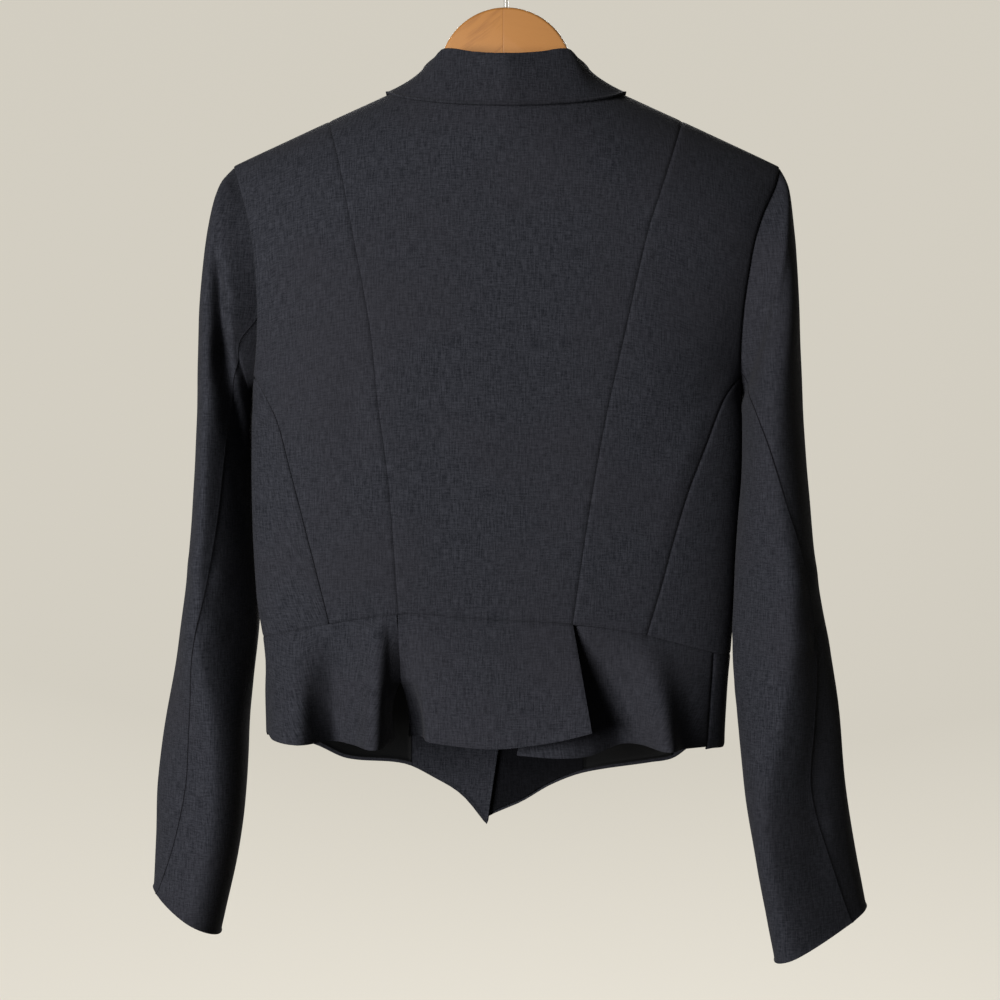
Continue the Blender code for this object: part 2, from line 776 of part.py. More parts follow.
# Collar
def collar_profile(turn):
    """The neck seam, the fold and the outer edge at a turn of 0 at the centre back to 180 at a front end."""
    right = 1 if turn >= 0 else -1
    turn = abs(turn)
    across = math.sin(math.radians(min(turn, 90)))
    lift = COLLAR_CLOTH + LAYER_GAP
    if turn <= 90:
        share = math.cos(math.radians(turn))
        neck = body_point(angle_at(right * NECK_HALF_WIDTH * across, NECK_Z), NECK_Z)
        edge_x = right * COLLAR_EDGE_HALF * across
        edge_z = shoulder_z(COLLAR_EDGE_HALF) - COLLAR_FALL * share
        edge_angle = angle_at(edge_x, edge_z)
    else:
        share = (turn - 90) / 90
        neck_z = NECK_Z + (COLLAR_FRONT_END_Z - NECK_Z) * share
        table = FRONT_EDGE_RIGHT if right > 0 else FRONT_EDGE_LEFT
        neck_angle = angle_at(table.read("x", neck_z), neck_z, back=False)
        neck = body_point(neck_angle, neck_z) - Vector((right * 2 * LAYER_GAP, 0, 0)) * share
        start_z = shoulder_z(COLLAR_EDGE_HALF)
        edge_x = right * (COLLAR_EDGE_HALF + (COLLAR_FRONT_EDGE[0] - COLLAR_EDGE_HALF) * share)
        on_slope = shoulder_z(edge_x) - SHOULDER_TOP_DROP
        edge_z = min(start_z + (COLLAR_FRONT_EDGE[1] - start_z) * share, on_slope)
        edge_angle = angle_at(edge_x, edge_z, back=False)
    edge = body_point(edge_angle, edge_z) + body_normal(edge_angle, edge_z) * lift
    out = Vector((neck.x, neck.y, 0)).normalized()
    neck = neck + Vector((0, 0, LAYER_GAP))
    fold = neck + Vector((0, 0, COLLAR_STAND.read("height", turn))) + out * COLLAR_STAND.read("lean", turn)
    return neck, fold, edge, out


def collar_point(across, down):
    neck, fold, edge, out = collar_profile(360 * across - 180)
    drop = Vector((0, 0, -min(COLLAR_FOLD_DROP, (fold.z - neck.z) / 2)))
    outside = fold + out * COLLAR_FOLD_OUTSIDE + drop
    profile = [neck, fold - out * COLLAR_FOLD_INSIDE + drop, fold, outside, outside.lerp(edge, 0.5), edge]
    return Vector([smooth_between(COLLAR_SHARES, [place[i] for place in profile], down) for i in range(3)])


def make_collar():
    def inward(across, down):
        return surface_normal(collar_point, across, down, 1) * COLLAR_CLOTH

    shell("collar", collar_point, inward, 32, 10, suiting)


# Hanger
def hanger_outline():
    """The hanger's outline in X and Z: its dome, and two arms that follow the shoulders."""
    top = []
    for i in range(HANGER_DOME_STEPS + 1):
        angle = math.radians(90 - HANGER_DOME_TURN * i / HANGER_DOME_STEPS)
        side, above = HANGER_DOME_RADIUS * math.cos(angle), HANGER_DOME_RADIUS * math.sin(angle)
        top.append((side, HANGER_DOME_Z + above))
    top.append((HANGER_THROAT_X, shoulder_z(HANGER_THROAT_X) - HANGER_THROAT_DROP))
    reach = HANGER_HALF_LENGTH - HANGER_NECK_HALF
    arm = [HANGER_NECK_HALF + reach * i / HANGER_ARM_STEPS for i in range(HANGER_ARM_STEPS + 1)]
    top += [(x, shoulder_z(x) - HANGER_DROP) for x in arm]
    low = []
    for x in reversed([0] + arm):
        deep = HANGER_MIDDLE_DEEP + (HANGER_END_DEEP - HANGER_MIDDLE_DEEP) * x / HANGER_HALF_LENGTH
        low.append((x, min(shoulder_z(x), shoulder_z(HANGER_NECK_HALF)) - HANGER_DROP - deep))
    half = top + low
    return half + [(-x, z) for x, z in reversed(half[1:-1])]


def poly_curve(name, points, flat, cyclic):
    data = bpy.data.curves.new(name, "CURVE")
    data.dimensions = "2D" if flat else "3D"
    line = data.splines.new("POLY")
    line.points.add(len(points) - 1)
    for place, point in zip(line.points, points):
        place.co = (point[0] * MM, point[1] * MM, 0, 1)
    line.use_cyclic_u = cyclic
    return data


def make_hanger():
    board = poly_curve("hanger_body", hanger_outline(), flat=True, cyclic=True)
    board.fill_mode = "BOTH"
    board.extrude = (HANGER_HALF_THICK - HANGER_EDGE) * MM
    board.bevel_depth = HANGER_EDGE * MM
    board.bevel_resolution = 1
    board.offset = -HANGER_EDGE * MM
    upright = math.radians(90)
    add_object("hanger_body", board, wood).rotation_euler = (upright, 0, 0)

    radius = HOOK_INNER_RADIUS + HOOK_WIRE_RADIUS
    dome_top = HANGER_DOME_Z + HANGER_DOME_RADIUS
    stem = [(x, dome_top + above) for x, above in HOOK_STEM]
    turns = [math.radians(HOOK_START + HOOK_STEP * i) for i in range(HOOK_POINTS)]
    arc = [(radius * math.cos(turn), radius * math.sin(turn) - HOOK_INNER_RADIUS) for turn in turns]
    wire = poly_curve("hanger_hook", stem + arc, flat=False, cyclic=False)
    wire.bevel_depth = HOOK_WIRE_RADIUS * MM
    wire.bevel_resolution = 2
    wire.use_fill_caps = True
    add_object("hanger_hook", wire, steel).rotation_euler = (upright, 0, 0)


for old in list(bpy.data.objects):
    bpy.data.objects.remove(old)
blazer = bpy.data.collections.new("cropped_blazer")
bpy.context.scene.collection.children.link(blazer)
suiting = material("suiting", (0.025, 0.026, 0.032), 0.85)
lining = material("lining", (0.008, 0.008, 0.010), 0.45)
horn = material("horn", (0.012, 0.011, 0.011), 0.35)
wood = material("wood", (0.51, 0.235, 0.066), 0.45)
steel = material("steel", (0.62, 0.62, 0.60), 0.25, 1.0)
make_back()
make_sides()
make_fronts()
make_front_insides()
make_lapels()
make_button()
make_peplum()
make_sleeves()
make_collar()
make_hanger()
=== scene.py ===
# %% [markdown]
# # A cropped blazer on its hanger
#
# This lesson dresses a finished construction model of a tailored blazer. The blazer hangs with its back to
# us, so its back panels, its flared peplum, its collar and both sleeves are what the eye meets first. We
# load the fixed model, look at it from the right place, and then sew a finer cloth for every panel.

# %% Load the fixed model
import json
import math

import bmesh
import bpy
import numpy as np
from mathutils import Matrix

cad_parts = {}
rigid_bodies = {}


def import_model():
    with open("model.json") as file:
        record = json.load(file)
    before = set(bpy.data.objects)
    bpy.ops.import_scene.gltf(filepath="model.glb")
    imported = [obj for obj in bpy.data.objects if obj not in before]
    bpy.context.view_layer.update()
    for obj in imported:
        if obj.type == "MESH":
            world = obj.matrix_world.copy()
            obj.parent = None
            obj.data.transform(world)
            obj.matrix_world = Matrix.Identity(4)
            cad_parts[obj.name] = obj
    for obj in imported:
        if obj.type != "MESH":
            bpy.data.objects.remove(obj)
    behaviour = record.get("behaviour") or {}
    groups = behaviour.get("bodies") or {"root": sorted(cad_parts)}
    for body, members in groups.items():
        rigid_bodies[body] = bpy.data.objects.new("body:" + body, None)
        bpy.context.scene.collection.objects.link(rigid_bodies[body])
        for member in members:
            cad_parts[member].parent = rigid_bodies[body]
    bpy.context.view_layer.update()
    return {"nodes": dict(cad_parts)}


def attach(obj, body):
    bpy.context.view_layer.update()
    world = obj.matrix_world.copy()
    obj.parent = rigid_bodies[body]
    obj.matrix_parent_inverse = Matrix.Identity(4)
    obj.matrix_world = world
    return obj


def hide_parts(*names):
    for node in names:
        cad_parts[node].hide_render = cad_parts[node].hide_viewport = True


for old in list(bpy.data.objects):
    bpy.data.objects.remove(old)
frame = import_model()
MM = 0.001
print("nodes in the model:", len(frame["nodes"]))

# %% [markdown]
# ## The camera
#
# The blazer hangs at about eye level, and the camera looks straight at its back. A camera could be aimed
# with a constraint, but a place, a turn and a lens are enough, and they stay put when the view is moved.

# %% Camera
CAMERA_PLACE = (-4.5, -1600.0, -428.5)
VIEW_WIDTH = 750.0
SENSOR = 36.0
lens = bpy.data.cameras.new("camera")
lens.sensor_width = SENSOR
lens.lens = SENSOR * abs(CAMERA_PLACE[1]) / VIEW_WIDTH
camera = bpy.data.objects.new("camera", lens)
camera.location = [value * MM for value in CAMERA_PLACE]
camera.rotation_euler = (math.radians(90), 0, 0)
bpy.context.scene.collection.objects.link(camera)
bpy.context.scene.camera = camera
print("lens of", round(lens.lens, 1), "mm")

# %% [markdown]
# ## Smooth tables
#
# A pattern cutter writes a garment down as a few measures at a few heights. We do the same: a short table
# has a row for each section, and a smooth curve runs through the rows. Numpy reads a whole grid of places
# at once.


# %% Tables
def smooth_between(keys, values, key):
    """A smooth curve through the rows, still beyond both ends. Rows may hold a value for each key."""
    key = np.clip(np.asarray(key, float), keys[0], keys[-1])
    index = np.clip(np.searchsorted(keys, key, side="right") - 1, 0, len(keys) - 2)
    row = np.arange(len(keys))
    before, after = np.maximum(row - 1, 0), np.minimum(row + 1, len(keys) - 1)
    spans = keys[after] - keys[before]
    slopes = (values[after] - values[before]) / (spans if values.ndim == 1 else spans[:, None])

    def pick(data, i):
        return data[i] if data.ndim == 1 else data[i, np.arange(len(i))]

    width = keys[index + 1] - keys[index]
    t = (key - keys[index]) / width
    return (
        pick(values, index) * (1 + 2 * t) * (1 - t) ** 2
        + pick(values, index + 1) * t * t * (3 - 2 * t)
        + pick(slopes, index) * width * t * (1 - t) ** 2
        + pick(slopes, index + 1) * width * t * t * (t - 1)
    )


class Table:
    """A short table with named columns. The first column is the one that it is read by."""

    def __init__(self, columns, *rows):
        data = np.array(sorted(rows), float)
        self.keys = data[:, 0]
        self.columns = dict(zip(columns.split(), data.T))

    def read(self, name, key):
        return smooth_between(self.keys, self.columns[name], key)


def ease(share):
    """Goes from 0 to 1 with a soft start and a soft end."""
    share = np.clip(share, 0, 1)
    return share * share * (3 - 2 * share)


# %% [markdown]
# ## The body of the blazer
#
# The body is one surface: level sections with rounded sides, closed at the top by the slope of the
# shoulders. Every panel is a stretch of it between two seams. All sizes are in millimetres. X runs to the
# right as we see the back, Y runs from the back to the front, and Z runs up from the top of the hook's
# bend.

# %% Sizes of the body
CLOTH = 1.8
COLLAR_CLOTH = 1.5
INNER_CLOTH = 1.1
SEAM_GAP = 0.3
CURVED_SEAM_GAP = 1.25
LAYER_GAP = 0.8
INSIDE_GAP = 0.7
SHOULDER_APEX = -87.0
SHOULDER_SLOPE = 0.457
SHOULDER_RADIUS = 90.0
SHOULDER_TOP_DROP = 0.01
BODY_ROUNDNESS = 0.8
NECK_Z = -121.0
NECK_HALF_WIDTH = 74.4
ARMHOLE_TOP_Z, ARMHOLE_LOW_Z = -179.8, -345.0
SIDE_TOP_Z = -336.0
SIDE_TOP_EASE = 3.1
SIDE_SEAM_BLEND = 60.0
PANEL_LOWEST_Z, PANEL_HIGHEST_Z = -700.0, -90.0
MIDDLE_Z = -450.0
FRONT_SEAM_ANGLE = 15.0

BODY = Table(
    "z left right back front",
    (-120, -214, 214, 62, 55),
    (-180, -213, 211, 66, 58),
    (-250, -204, 200, 68, 62),
    (-300, -194, 185, 66, 63),
    (-345, -188, 174, 63, 62),
    (-372, -188.3, 176, 61.5, 60.5),
    (-400, -188.5, 175.6, 60, 59),
    (-450, -188, 173, 57, 56),
    (-500, -185, 170.2, 53, 52),
    (-540, -179, 166.5, 50, 50),
    (-575, -178.5, 163.5, 51.5, 50.5),
    (-610, -178, 162, 53, 51),
    (-690, -178, 162, 54, 50),
)
ARMHOLE = Table(
    "z left right",
    (-180, -203, 204),
    (-196, -197, 199),
    (-219, -190, 188),
    (-240, -185.5, 181),
    (-262, -183, 177),
    (-289, -182, 173.5),
    (-322, -184, 172),
    (-345, -188, 174),
)
WAIST = Table(
    "x z",
    (-180, -530),
    (-129, -519),
    (-78, -511.5),
    (-53, -511.5),
    (-30, -514),
    (48, -519),
    (96, -526),
    (160, -543),
)


# %% The body's surface
def signed_power(value, power):
    return np.sign(value) * np.abs(value) ** power


def shoulder_z(x):
    return SHOULDER_APEX - SHOULDER_SLOPE * np.abs(x)


def body_point(angle, z):
    """Points on the body, at angles that run from its right side by the front to the left and the back."""
    left, right = BODY.read("left", z), BODY.read("right", z)
    sine = np.sin(angle)
    x = (left + right) / 2 + (right - left) / 2 * signed_power(np.cos(angle), BODY_ROUNDNESS)
    deep = np.where(sine < 0, BODY.read("back", z), BODY.read("front", z))
    above = 1 - np.clip((shoulder_z(x) - z) / SHOULDER_RADIUS, 0, 1)
    y = deep * signed_power(sine, BODY_ROUNDNESS) * np.sqrt(1 - above * above)
    return np.stack(np.broadcast_arrays(x, y, z), -1)


def unit(vectors):
    return vectors / np.maximum(np.linalg.norm(vectors, axis=-1, keepdims=True), 1e-9)


def body_normal(angle, z):
    turn, drop = 0.002, 0.2
    across = body_point(angle + turn, z) - body_point(angle - turn, z)
    up = body_point(angle, z) - body_point(angle, z - drop)
    return unit(np.cross(across, up))


def angle_at(x, z, back=True):
    left, right = BODY.read("left", z), BODY.read("right", z)
    share = np.clip((x - (left + right) / 2) / ((right - left) / 2), -0.99999, 0.99999)
    angle = np.arccos(signed_power(share, 1 / BODY_ROUNDNESS))
    return np.where(back, 2 * np.pi - angle, angle)


def seam_angle(table, column="x", back=True):
    return lambda z: angle_at(table.read(column, z), z, back)


def inset(angle, z, distance):
    """Angles moved round the body by a distance."""
    step = 0.001
    speed = np.linalg.norm(body_point(angle + step, z) - body_point(angle - step, z), axis=-1) / (2 * step)
    return angle + distance / speed


# %% [markdown]
# ## Finishes written as formulas
#
# Blender's materials are graphs of nodes. Joining nodes by hand in a script is hard to read, so one small
# class wraps a socket. Adding or multiplying two of them adds a Math node, and every other node comes from
# one method.


# %% Wires between shader nodes
class Wire:
    """A socket in a material's graph. Arithmetic on it adds Math nodes."""

    def __init__(self, tree, socket=None):
        self.tree, self.socket = tree, socket

    def node(self, kind, settings=(), sockets=(), output=0):
        made = self.tree.nodes.new(kind)
        for name, value in dict(settings).items():
            if name == "stops":
                for place, (at, colour) in enumerate(value):
                    stops = made.color_ramp.elements
                    stop = stops[place] if place < 2 else stops.new(at)
                    stop.position, stop.color = at, (*colour, 1)
            else:
                setattr(made, name, value)
        for name, value in dict(sockets).items():
            if isinstance(value, Wire):
                self.tree.links.new(value.socket, made.inputs[name])
            else:
                made.inputs[name].default_value = value
        return Wire(self.tree, made.outputs[output])

    def math(self, operation, *values):
        return self.node("ShaderNodeMath", {"operation": operation}, enumerate(values))

    def __add__(self, other):
        return self.math("ADD", self, other)

    def __sub__(self, other):
        return self.math("SUBTRACT", self, other)

    def __rsub__(self, other):
        return self.math("SUBTRACT", other, self)

    def __mul__(self, other):
        return self.math("MULTIPLY", self, other)

    def __truediv__(self, other):
        return self.math("DIVIDE", self, other)

    __radd__, __rmul__ = __add__, __mul__

    def mixed(self, first, second):
        """Goes from the first colour to the second as this value goes from 0 to 1."""
        return self.node("ShaderNodeMix", {"data_type": "RGBA"}, {0: self, 6: first, 7: second}, 2)

    def spread(self, low, high, to_low=0.0, to_high=1.0):
        """Stretches the values between two limits over another span."""
        limits = {"From Min": low, "From Max": high, "To Min": to_low, "To Max": to_high}
        return self.node("ShaderNodeMapRange", {}, {"Value": self, **limits})


def colour(*parts):
    return (*parts, 1.0)


def start_finish(name):
    made = bpy.data.materials.new(name)
    made.use_nodes = True
    return made, Wire(made.node_tree), made.node_tree.nodes["Principled BSDF"]


def set_shader(wire, shader, links=(), **constants):
    """Joins what changes over the surface, and sets what is the same all over it."""
    for name, value in dict(links).items():
        wire.tree.links.new(value.socket, shader.inputs[name])
    for name, value in constants.items():
        shader.inputs[name.replace("_", " ")].default_value = value


def stretched_noise(wire, place, sizes, detail=2.0, roughness=0.5):
    """Noise whose grains have these sizes, in metres, along the place's own directions."""
    scale = tuple(1 / size for size in sizes)
    moved = wire.node("ShaderNodeMapping", {}, {"Vector": place, "Scale": scale})
    sockets = {"Vector": moved, "Scale": 1.0, "Detail": detail, "Roughness": roughness}
    return wire.node("ShaderNodeTexNoise", {}, sockets)


# %% [markdown]
# ## Wool suiting
#
# The blazer is cut from a fine plain-weave wool. Dyed fibres of slightly unlike darkness are spun together,
# so the cloth looks heathered: faint long streaks run along the warp and shorter flecks along the weft. The
# weave itself is a bump of crossing threads. Each panel carries its lengths as a UV map, so that threads
# follow the grain, and a measure of how far each place is from its nearest seam, so that the pressed seams
# sink in as a bump and carry a thin line of painted shade.

# %% Wool suiting
THREAD = 0.00046
SEAM_LINE = 0.0005
WOOL_DARK = (0.0112, 0.0122, 0.0160)
WOOL_LIGHT = (0.0380, 0.0396, 0.0492)
WOOL_WARM = (0.0275, 0.0264, 0.0322)
# Painted shade: the dark tone of the thin line along every seam.
PAINTED_SEAM_SHADE = (0.0035, 0.0035, 0.0045)


def make_suiting(name, shade=1.0):
    """The wool, or, with a shade below 1, a darker copy of it that paints shade onto the cloth."""
    finish, wire, shader = start_finish(name)
    # The last tone, sunk, is the painted shade for the seam lines.
    dark, light, warm, sunk = (
        colour(*(part * shade for part in tone)) for tone in (WOOL_DARK, WOOL_LIGHT, WOOL_WARM, PAINTED_SEAM_SHADE)
    )
    lengths = wire.node("ShaderNodeUVMap", {"uv_map": "lengths"})
    seam = wire.node("ShaderNodeAttribute", {"attribute_name": "seam"}, output=2)
    place = wire.node("ShaderNodeTexCoord", output=3)
    streak = stretched_noise(wire, lengths, (0.0009, 0.011, 1.0), 3.0, 0.6)
    fleck = stretched_noise(wire, lengths, (0.008, 0.0009, 1.0), 3.0, 0.6)
    fuzz = stretched_noise(wire, lengths, (0.0016, 0.0016, 1.0), 3.0, 0.65)
    broad = stretched_noise(wire, place, (0.09, 0.09, 0.09), 2.0)
    heather = streak * 0.42 + fleck * 0.34 + fuzz * 0.24
    heather = heather.spread(0.40, 0.60)
    wool = heather.mixed(dark, light)
    warmth = broad.spread(0.42, 0.66, 0.0, 0.35)
    wool = warmth.mixed(wool, warm)
    # Painted shade: the wool darkens in a thin line along each seam, standing in for the shadow in its
    # groove.
    near = seam / SEAM_LINE
    seam_shade_mask = wire.math("EXPONENT", 0 - near * near)
    wool = (seam_shade_mask * 0.85).mixed(wool, sunk)
    across, along = thread_waves(wire, lengths)
    over = wire.node("ShaderNodeTexChecker", {}, {"Vector": lengths, "Scale": 1 / THREAD}, 1)
    weave = across * over + along * (1 - over)
    pressed = seam / (3 * SEAM_LINE)
    dip = wire.math("EXPONENT", 0 - pressed * pressed)
    height = weave * 0.04 + heather * 0.14 - dip * 0.9
    bump = wire.node("ShaderNodeBump", {}, {"Height": height, "Strength": 0.55, "Distance": 0.0008})
    roughness = 0.78 + heather * 0.14
    set_shader(
        wire,
        shader,
        {"Base Color": wool, "Roughness": roughness, "Normal": bump},
        Sheen_Weight=0.03,
        Sheen_Roughness=0.5,
        Specular_IOR_Level=0.02,
    )
    return finish


def thread_waves(wire, lengths):
    """Rounded threads across and along the cloth, as heights from 0 to 1."""
    waves = []
    for output in (0, 1):
        split = wire.node("ShaderNodeSeparateXYZ", {}, {"Vector": lengths}, output)
        waves.append(wire.math("ABSOLUTE", wire.math("SINE", split * (math.pi / THREAD))))
    return waves


suiting = make_suiting("wool_suiting")
# Painted shade: a copy of the wool at a fifth of its brightness, for the right facing that lies in shadow.
painted_shade_wool = make_suiting("wool_painted_shade", 0.2)
print("finish:", suiting.name, "with threads of", THREAD / MM, "mm")

# %% [markdown]
# ## Lining, horn, wood and wire
#
# The lining is a black satin with a fine slanted twill. The button is dark horn with cloudy streaks. The
# hanger is two pieces of varnished wood, glued where they meet, with the grain of one half running up
# towards the joint. Its hook is bright plated wire with fine drawing marks.

# %% Lining
TWILL = 0.0005


def make_lining():
    finish, wire, shader = start_finish("satin_lining")
    lengths = wire.node("ShaderNodeUVMap", {"uv_map": "lengths"})
    turned = wire.node("ShaderNodeMapping", {}, {"Vector": lengths, "Rotation": (0, 0, math.radians(38))})
    across = wire.node("ShaderNodeSeparateXYZ", {}, {"Vector": turned})
    twill = wire.math("ABSOLUTE", wire.math("SINE", across * (math.pi / TWILL)))
    cloud = stretched_noise(wire, lengths, (0.02, 0.05, 1.0))
    satin = (twill * 0.5 + cloud * 0.5).mixed(colour(0.0012, 0.0014, 0.0016), colour(0.0045, 0.0048, 0.0055))
    bump = wire.node("ShaderNodeBump", {}, {"Height": twill, "Strength": 0.25, "Distance": 0.0002})
    links = {"Base Color": satin, "Roughness": 0.42 + cloud * 0.16, "Normal": bump}
    set_shader(wire, shader, links, Specular_IOR_Level=0.05)
    return finish


# %% Horn
def make_horn():
    finish, wire, shader = start_finish("dark_horn")
    place = wire.node("ShaderNodeTexCoord", output=3)
    cloud = stretched_noise(wire, place, (0.004, 0.004, 0.012), 4.0, 0.6)
    ramp = {"stops": ((0.35, (0.006, 0.005, 0.005)), (0.7, (0.035, 0.022, 0.014)))}
    horn_colour = wire.node("ShaderNodeValToRGB", ramp, {"Fac": cloud})
    set_shader(wire, shader, {"Base Color": horn_colour, "Roughness": 0.26 + cloud * 0.12})
    return finish


# %% Wood
JOINT_X = -0.0022
WOOD_PALE = colour(0.445, 0.196, 0.052)
WOOD_DEEP = colour(0.270, 0.100, 0.020)


def make_wood():
    finish, wire, shader = start_finish("honey_wood")
    place = wire.node("ShaderNodeTexCoord", output=3)
    side = wire.node("ShaderNodeSeparateXYZ", {}, {"Vector": place})
    on_left = wire.math("LESS_THAN", side, JOINT_X)
    grains = []
    for turn in (38, -8):
        turned = wire.node("ShaderNodeMapping", {}, {"Vector": place, "Rotation": (0, math.radians(turn), 0)})
        bands = stretched_noise(wire, turned, (0.045, 0.020, 0.0075), 3.0, 0.5)
        pores = stretched_noise(wire, turned, (0.012, 0.004, 0.0006), 2.0, 0.6)
        grains.append(bands * 0.72 + pores * 0.28)
    left_grain = grains[0].spread(0.5, 0.66, 0.0, 0.62)
    right_grain = grains[1].spread(0.4, 0.7, 0.02, 0.16)
    grain = left_grain * on_left + right_grain * (1 - on_left)
    wood = grain.mixed(WOOD_PALE, WOOD_DEEP)
    off = (side - JOINT_X) / 0.0004
    joint = wire.math("EXPONENT", 0 - off * off)
    wood = (joint * 0.45).mixed(wood, WOOD_DEEP)
    bump = wire.node("ShaderNodeBump", {}, {"Height": 0 - grain - joint, "Strength": 0.3, "Distance": 0.0003})
    set_shader(
        wire,
        shader,
        {"Base Color": wood, "Roughness": 0.40 + grain * 0.15, "Normal": bump},
        Coat_Weight=0.25,
        Coat_Roughness=0.22,
    )
    return finish


# %% Plated wire
def make_steel():
    finish, wire, shader = start_finish("plated_wire")
    place = wire.node("ShaderNodeTexCoord", output=3)
    drawn = stretched_noise(wire, place, (0.0008, 0.0008, 0.02), 3.0)
    steel_colour = drawn.mixed(colour(0.50, 0.50, 0.49), colour(0.72, 0.72, 0.70))
    set_shader(wire, shader, {"Base Color": steel_colour, "Roughness": 0.16 + drawn * 0.16}, Metallic=1.0)
    return finish


lining = make_lining()
horn = make_horn()
wood = make_wood()
steel = make_steel()
print("finishes:", [finish.name for finish in (lining, horn, wood, steel)])

# %% [markdown]
# ## Sewing a panel
#
# A panel of cloth starts as a flat grid from Blender's grid operator. Each of its corners is moved to its
# place on the garment, and the grid lines crowd towards the edges, where the cloth rolls into a seam or
# round a hem. The wall is given its thickness by Solidify, and a small Bevel rounds its rim. The panel also
# learns its own lengths for the weave and its distance from the nearest seam. At last its flat size and its
# area are noted, to be printed at the end.

# %% Grids and their lengths
EDGE_STEPS = (0.0, 0.5, 1.2, 2.4)
EDGES = ("start", "end", "top", "bottom")
SEAM_ROLL, SEAM_ROLL_REACH = 0.55, 1.1
HEM_ROLL, HEM_ROLL_REACH = 0.7, 1.3
SEAM_HOLD, FAR_FROM_SEAM = 14.0, 60.0
RIM_WIDTH = 0.45


def crowded(count, length):
    """Shares from 0 to 1, close together near both ends. The length is the panel's own, in millimetres."""
    near = np.array(EDGE_STEPS) / length
    middle = np.linspace(near[-1], 1 - near[-1], count - 2 * len(near) + 3)
    return np.concatenate([near[:-1], middle, 1 - near[-2::-1]])


def run_lengths(points, axis):
    """How far each point is along its own row or column of the grid."""
    steps = np.linalg.norm(np.diff(points, axis=axis), axis=-1)
    zero = np.zeros_like(np.take(steps, [0], axis))
    return np.concatenate([zero, np.cumsum(steps, axis)], axis)


def grid_normals(points, flip):
    across = np.gradient(points, axis=1)
    down = np.gradient(points, axis=0)
    return unit(np.cross(down, across)) * flip


def seam_distance(across, down, seams):
    """How far each point is from the nearest sewn edge."""
    far = np.full(across.shape, FAR_FROM_SEAM)
    edges = dict(zip(EDGES, (across, across[:, -1:] - across, down, down[-1:] - down)))
    for name in seams.split():
        far = np.minimum(far, edges[name])
    return far


# %% Creases placed one by one
CREASE_COLUMNS = "x0 z0 x1 z1 bend width depth"


def crease_rows(*rows):
    return [dict(zip(CREASE_COLUMNS.split(), row)) for row in rows]


def crease_heights(points, creases):
    """Soft ridges and troughs, each along a bent line as seen from the back, fading at both ends."""
    x, z = points[..., 0], points[..., 2]
    total = np.zeros_like(x)
    for crease in creases:
        run_x, run_z = crease["x1"] - crease["x0"], crease["z1"] - crease["z0"]
        length = math.hypot(run_x, run_z)
        along = ((x - crease["x0"]) * run_x + (z - crease["z0"]) * run_z) / length**2
        aside = ((x - crease["x0"]) * run_z - (z - crease["z0"]) * run_x) / length
        aside = aside - crease["bend"] * 4 * along * (1 - along)
        fade = np.sin(np.pi * np.clip(along, 0, 1)) ** 0.8
        total += crease["depth"] * fade * np.exp(-((aside / crease["width"]) ** 2))
    return total


def slack(points):
    """The faint unevenness of cloth that hangs free."""
    x, y, z = points[..., 0], points[..., 1], points[..., 2]
    slow = np.sin(x / 31 + 1.7 * np.sin(z / 57)) * np.sin(z / 43 + 0.9 * np.sin(y / 29) + 0.6)
    quick = np.sin(x / 13.7 + z / 19.3) * np.sin(z / 11.9 - x / 23.1 + 2.0)
    return 0.34 * slow + 0.10 * quick


# %% A shell of cloth
sewn = []


def sew(
    name, points, finish, seams, wall=CLOTH, flip=1, back=(), front=(), held="hung", calm=1.0,
    wide=None, plain=""
):
    """Makes a panel from a grid of points in millimetres, in the place of the model's node of that name.

    Creases are given for the side that faces back and the side that faces front. Plain edges get no roll.
    A slanted grid is given its level lengths, because its own lines don't follow the threads.
    """
    across, down = run_lengths(points, 1), run_lengths(points, 0)
    distance = seam_distance(across, down, seams)
    hems = " ".join(edge for edge in EDGES if edge not in seams.split() + plain.split())
    normals = grid_normals(points, flip)
    roll = -SEAM_ROLL * np.exp(-((distance / SEAM_ROLL_REACH) ** 2))
    roll -= HEM_ROLL * np.exp(-((seam_distance(across, down, hems) / HEM_ROLL_REACH) ** 2))
    behind, before = np.clip(-3 * normals[..., 1], 0, 1), np.clip(3 * normals[..., 1], 0, 1)
    folds = crease_heights(points, back) * behind + crease_heights(points, front) * before
    height = roll + (folds + slack(points) * calm) * ease(distance / SEAM_HOLD)
    shaped = (points + normals * height[..., None]) * MM
    rows, columns = points.shape[:2]
    middle = columns // 2
    long = points[..., 2]
    if wide is None:
        wide = across - across[:, middle : middle + 1] + points[:, middle : middle + 1, 0]
        long = down[-1:] - down + points[-1:, :, 2]
    lengths = np.stack([wide, long], -1)
    mesh = bmesh.new()
    bmesh.ops.create_grid(mesh, x_segments=columns - 1, y_segments=rows - 1, size=0.5)
    seam_layer = mesh.verts.layers.float.new("seam")
    uv = mesh.loops.layers.uv.new("lengths")
    places = {}
    for corner in mesh.verts:
        j, i = round((corner.co.x + 0.5) * (columns - 1)), round((0.5 - corner.co.y) * (rows - 1))
        places[corner] = (i, j)
        corner.co = shaped[i, j]
        corner[seam_layer] = distance[i, j] * MM
    for face in mesh.faces:
        face.smooth = True
        for loop in face.loops:
            loop[uv].uv = lengths[places[loop.vert]] * MM
    if flip > 0:
        bmesh.ops.reverse_faces(mesh, faces=mesh.faces[:])
    piece = add_piece(name, mesh, finish)
    thick = piece.modifiers.new("wall", "SOLIDIFY")
    thick.thickness, thick.offset = wall * MM, -1
    rim = piece.modifiers.new("rim", "BEVEL")
    rim.width, rim.segments, rim.limit_method, rim.angle_limit = RIM_WIDTH * MM, 2, "ANGLE", math.radians(60)
    area = sum(face_areas(shaped))
    flat = (float(across[:, -1].max()) * MM, float(down[-1].max()) * MM)
    sewn.append((name, flat, float(area)))
    return piece


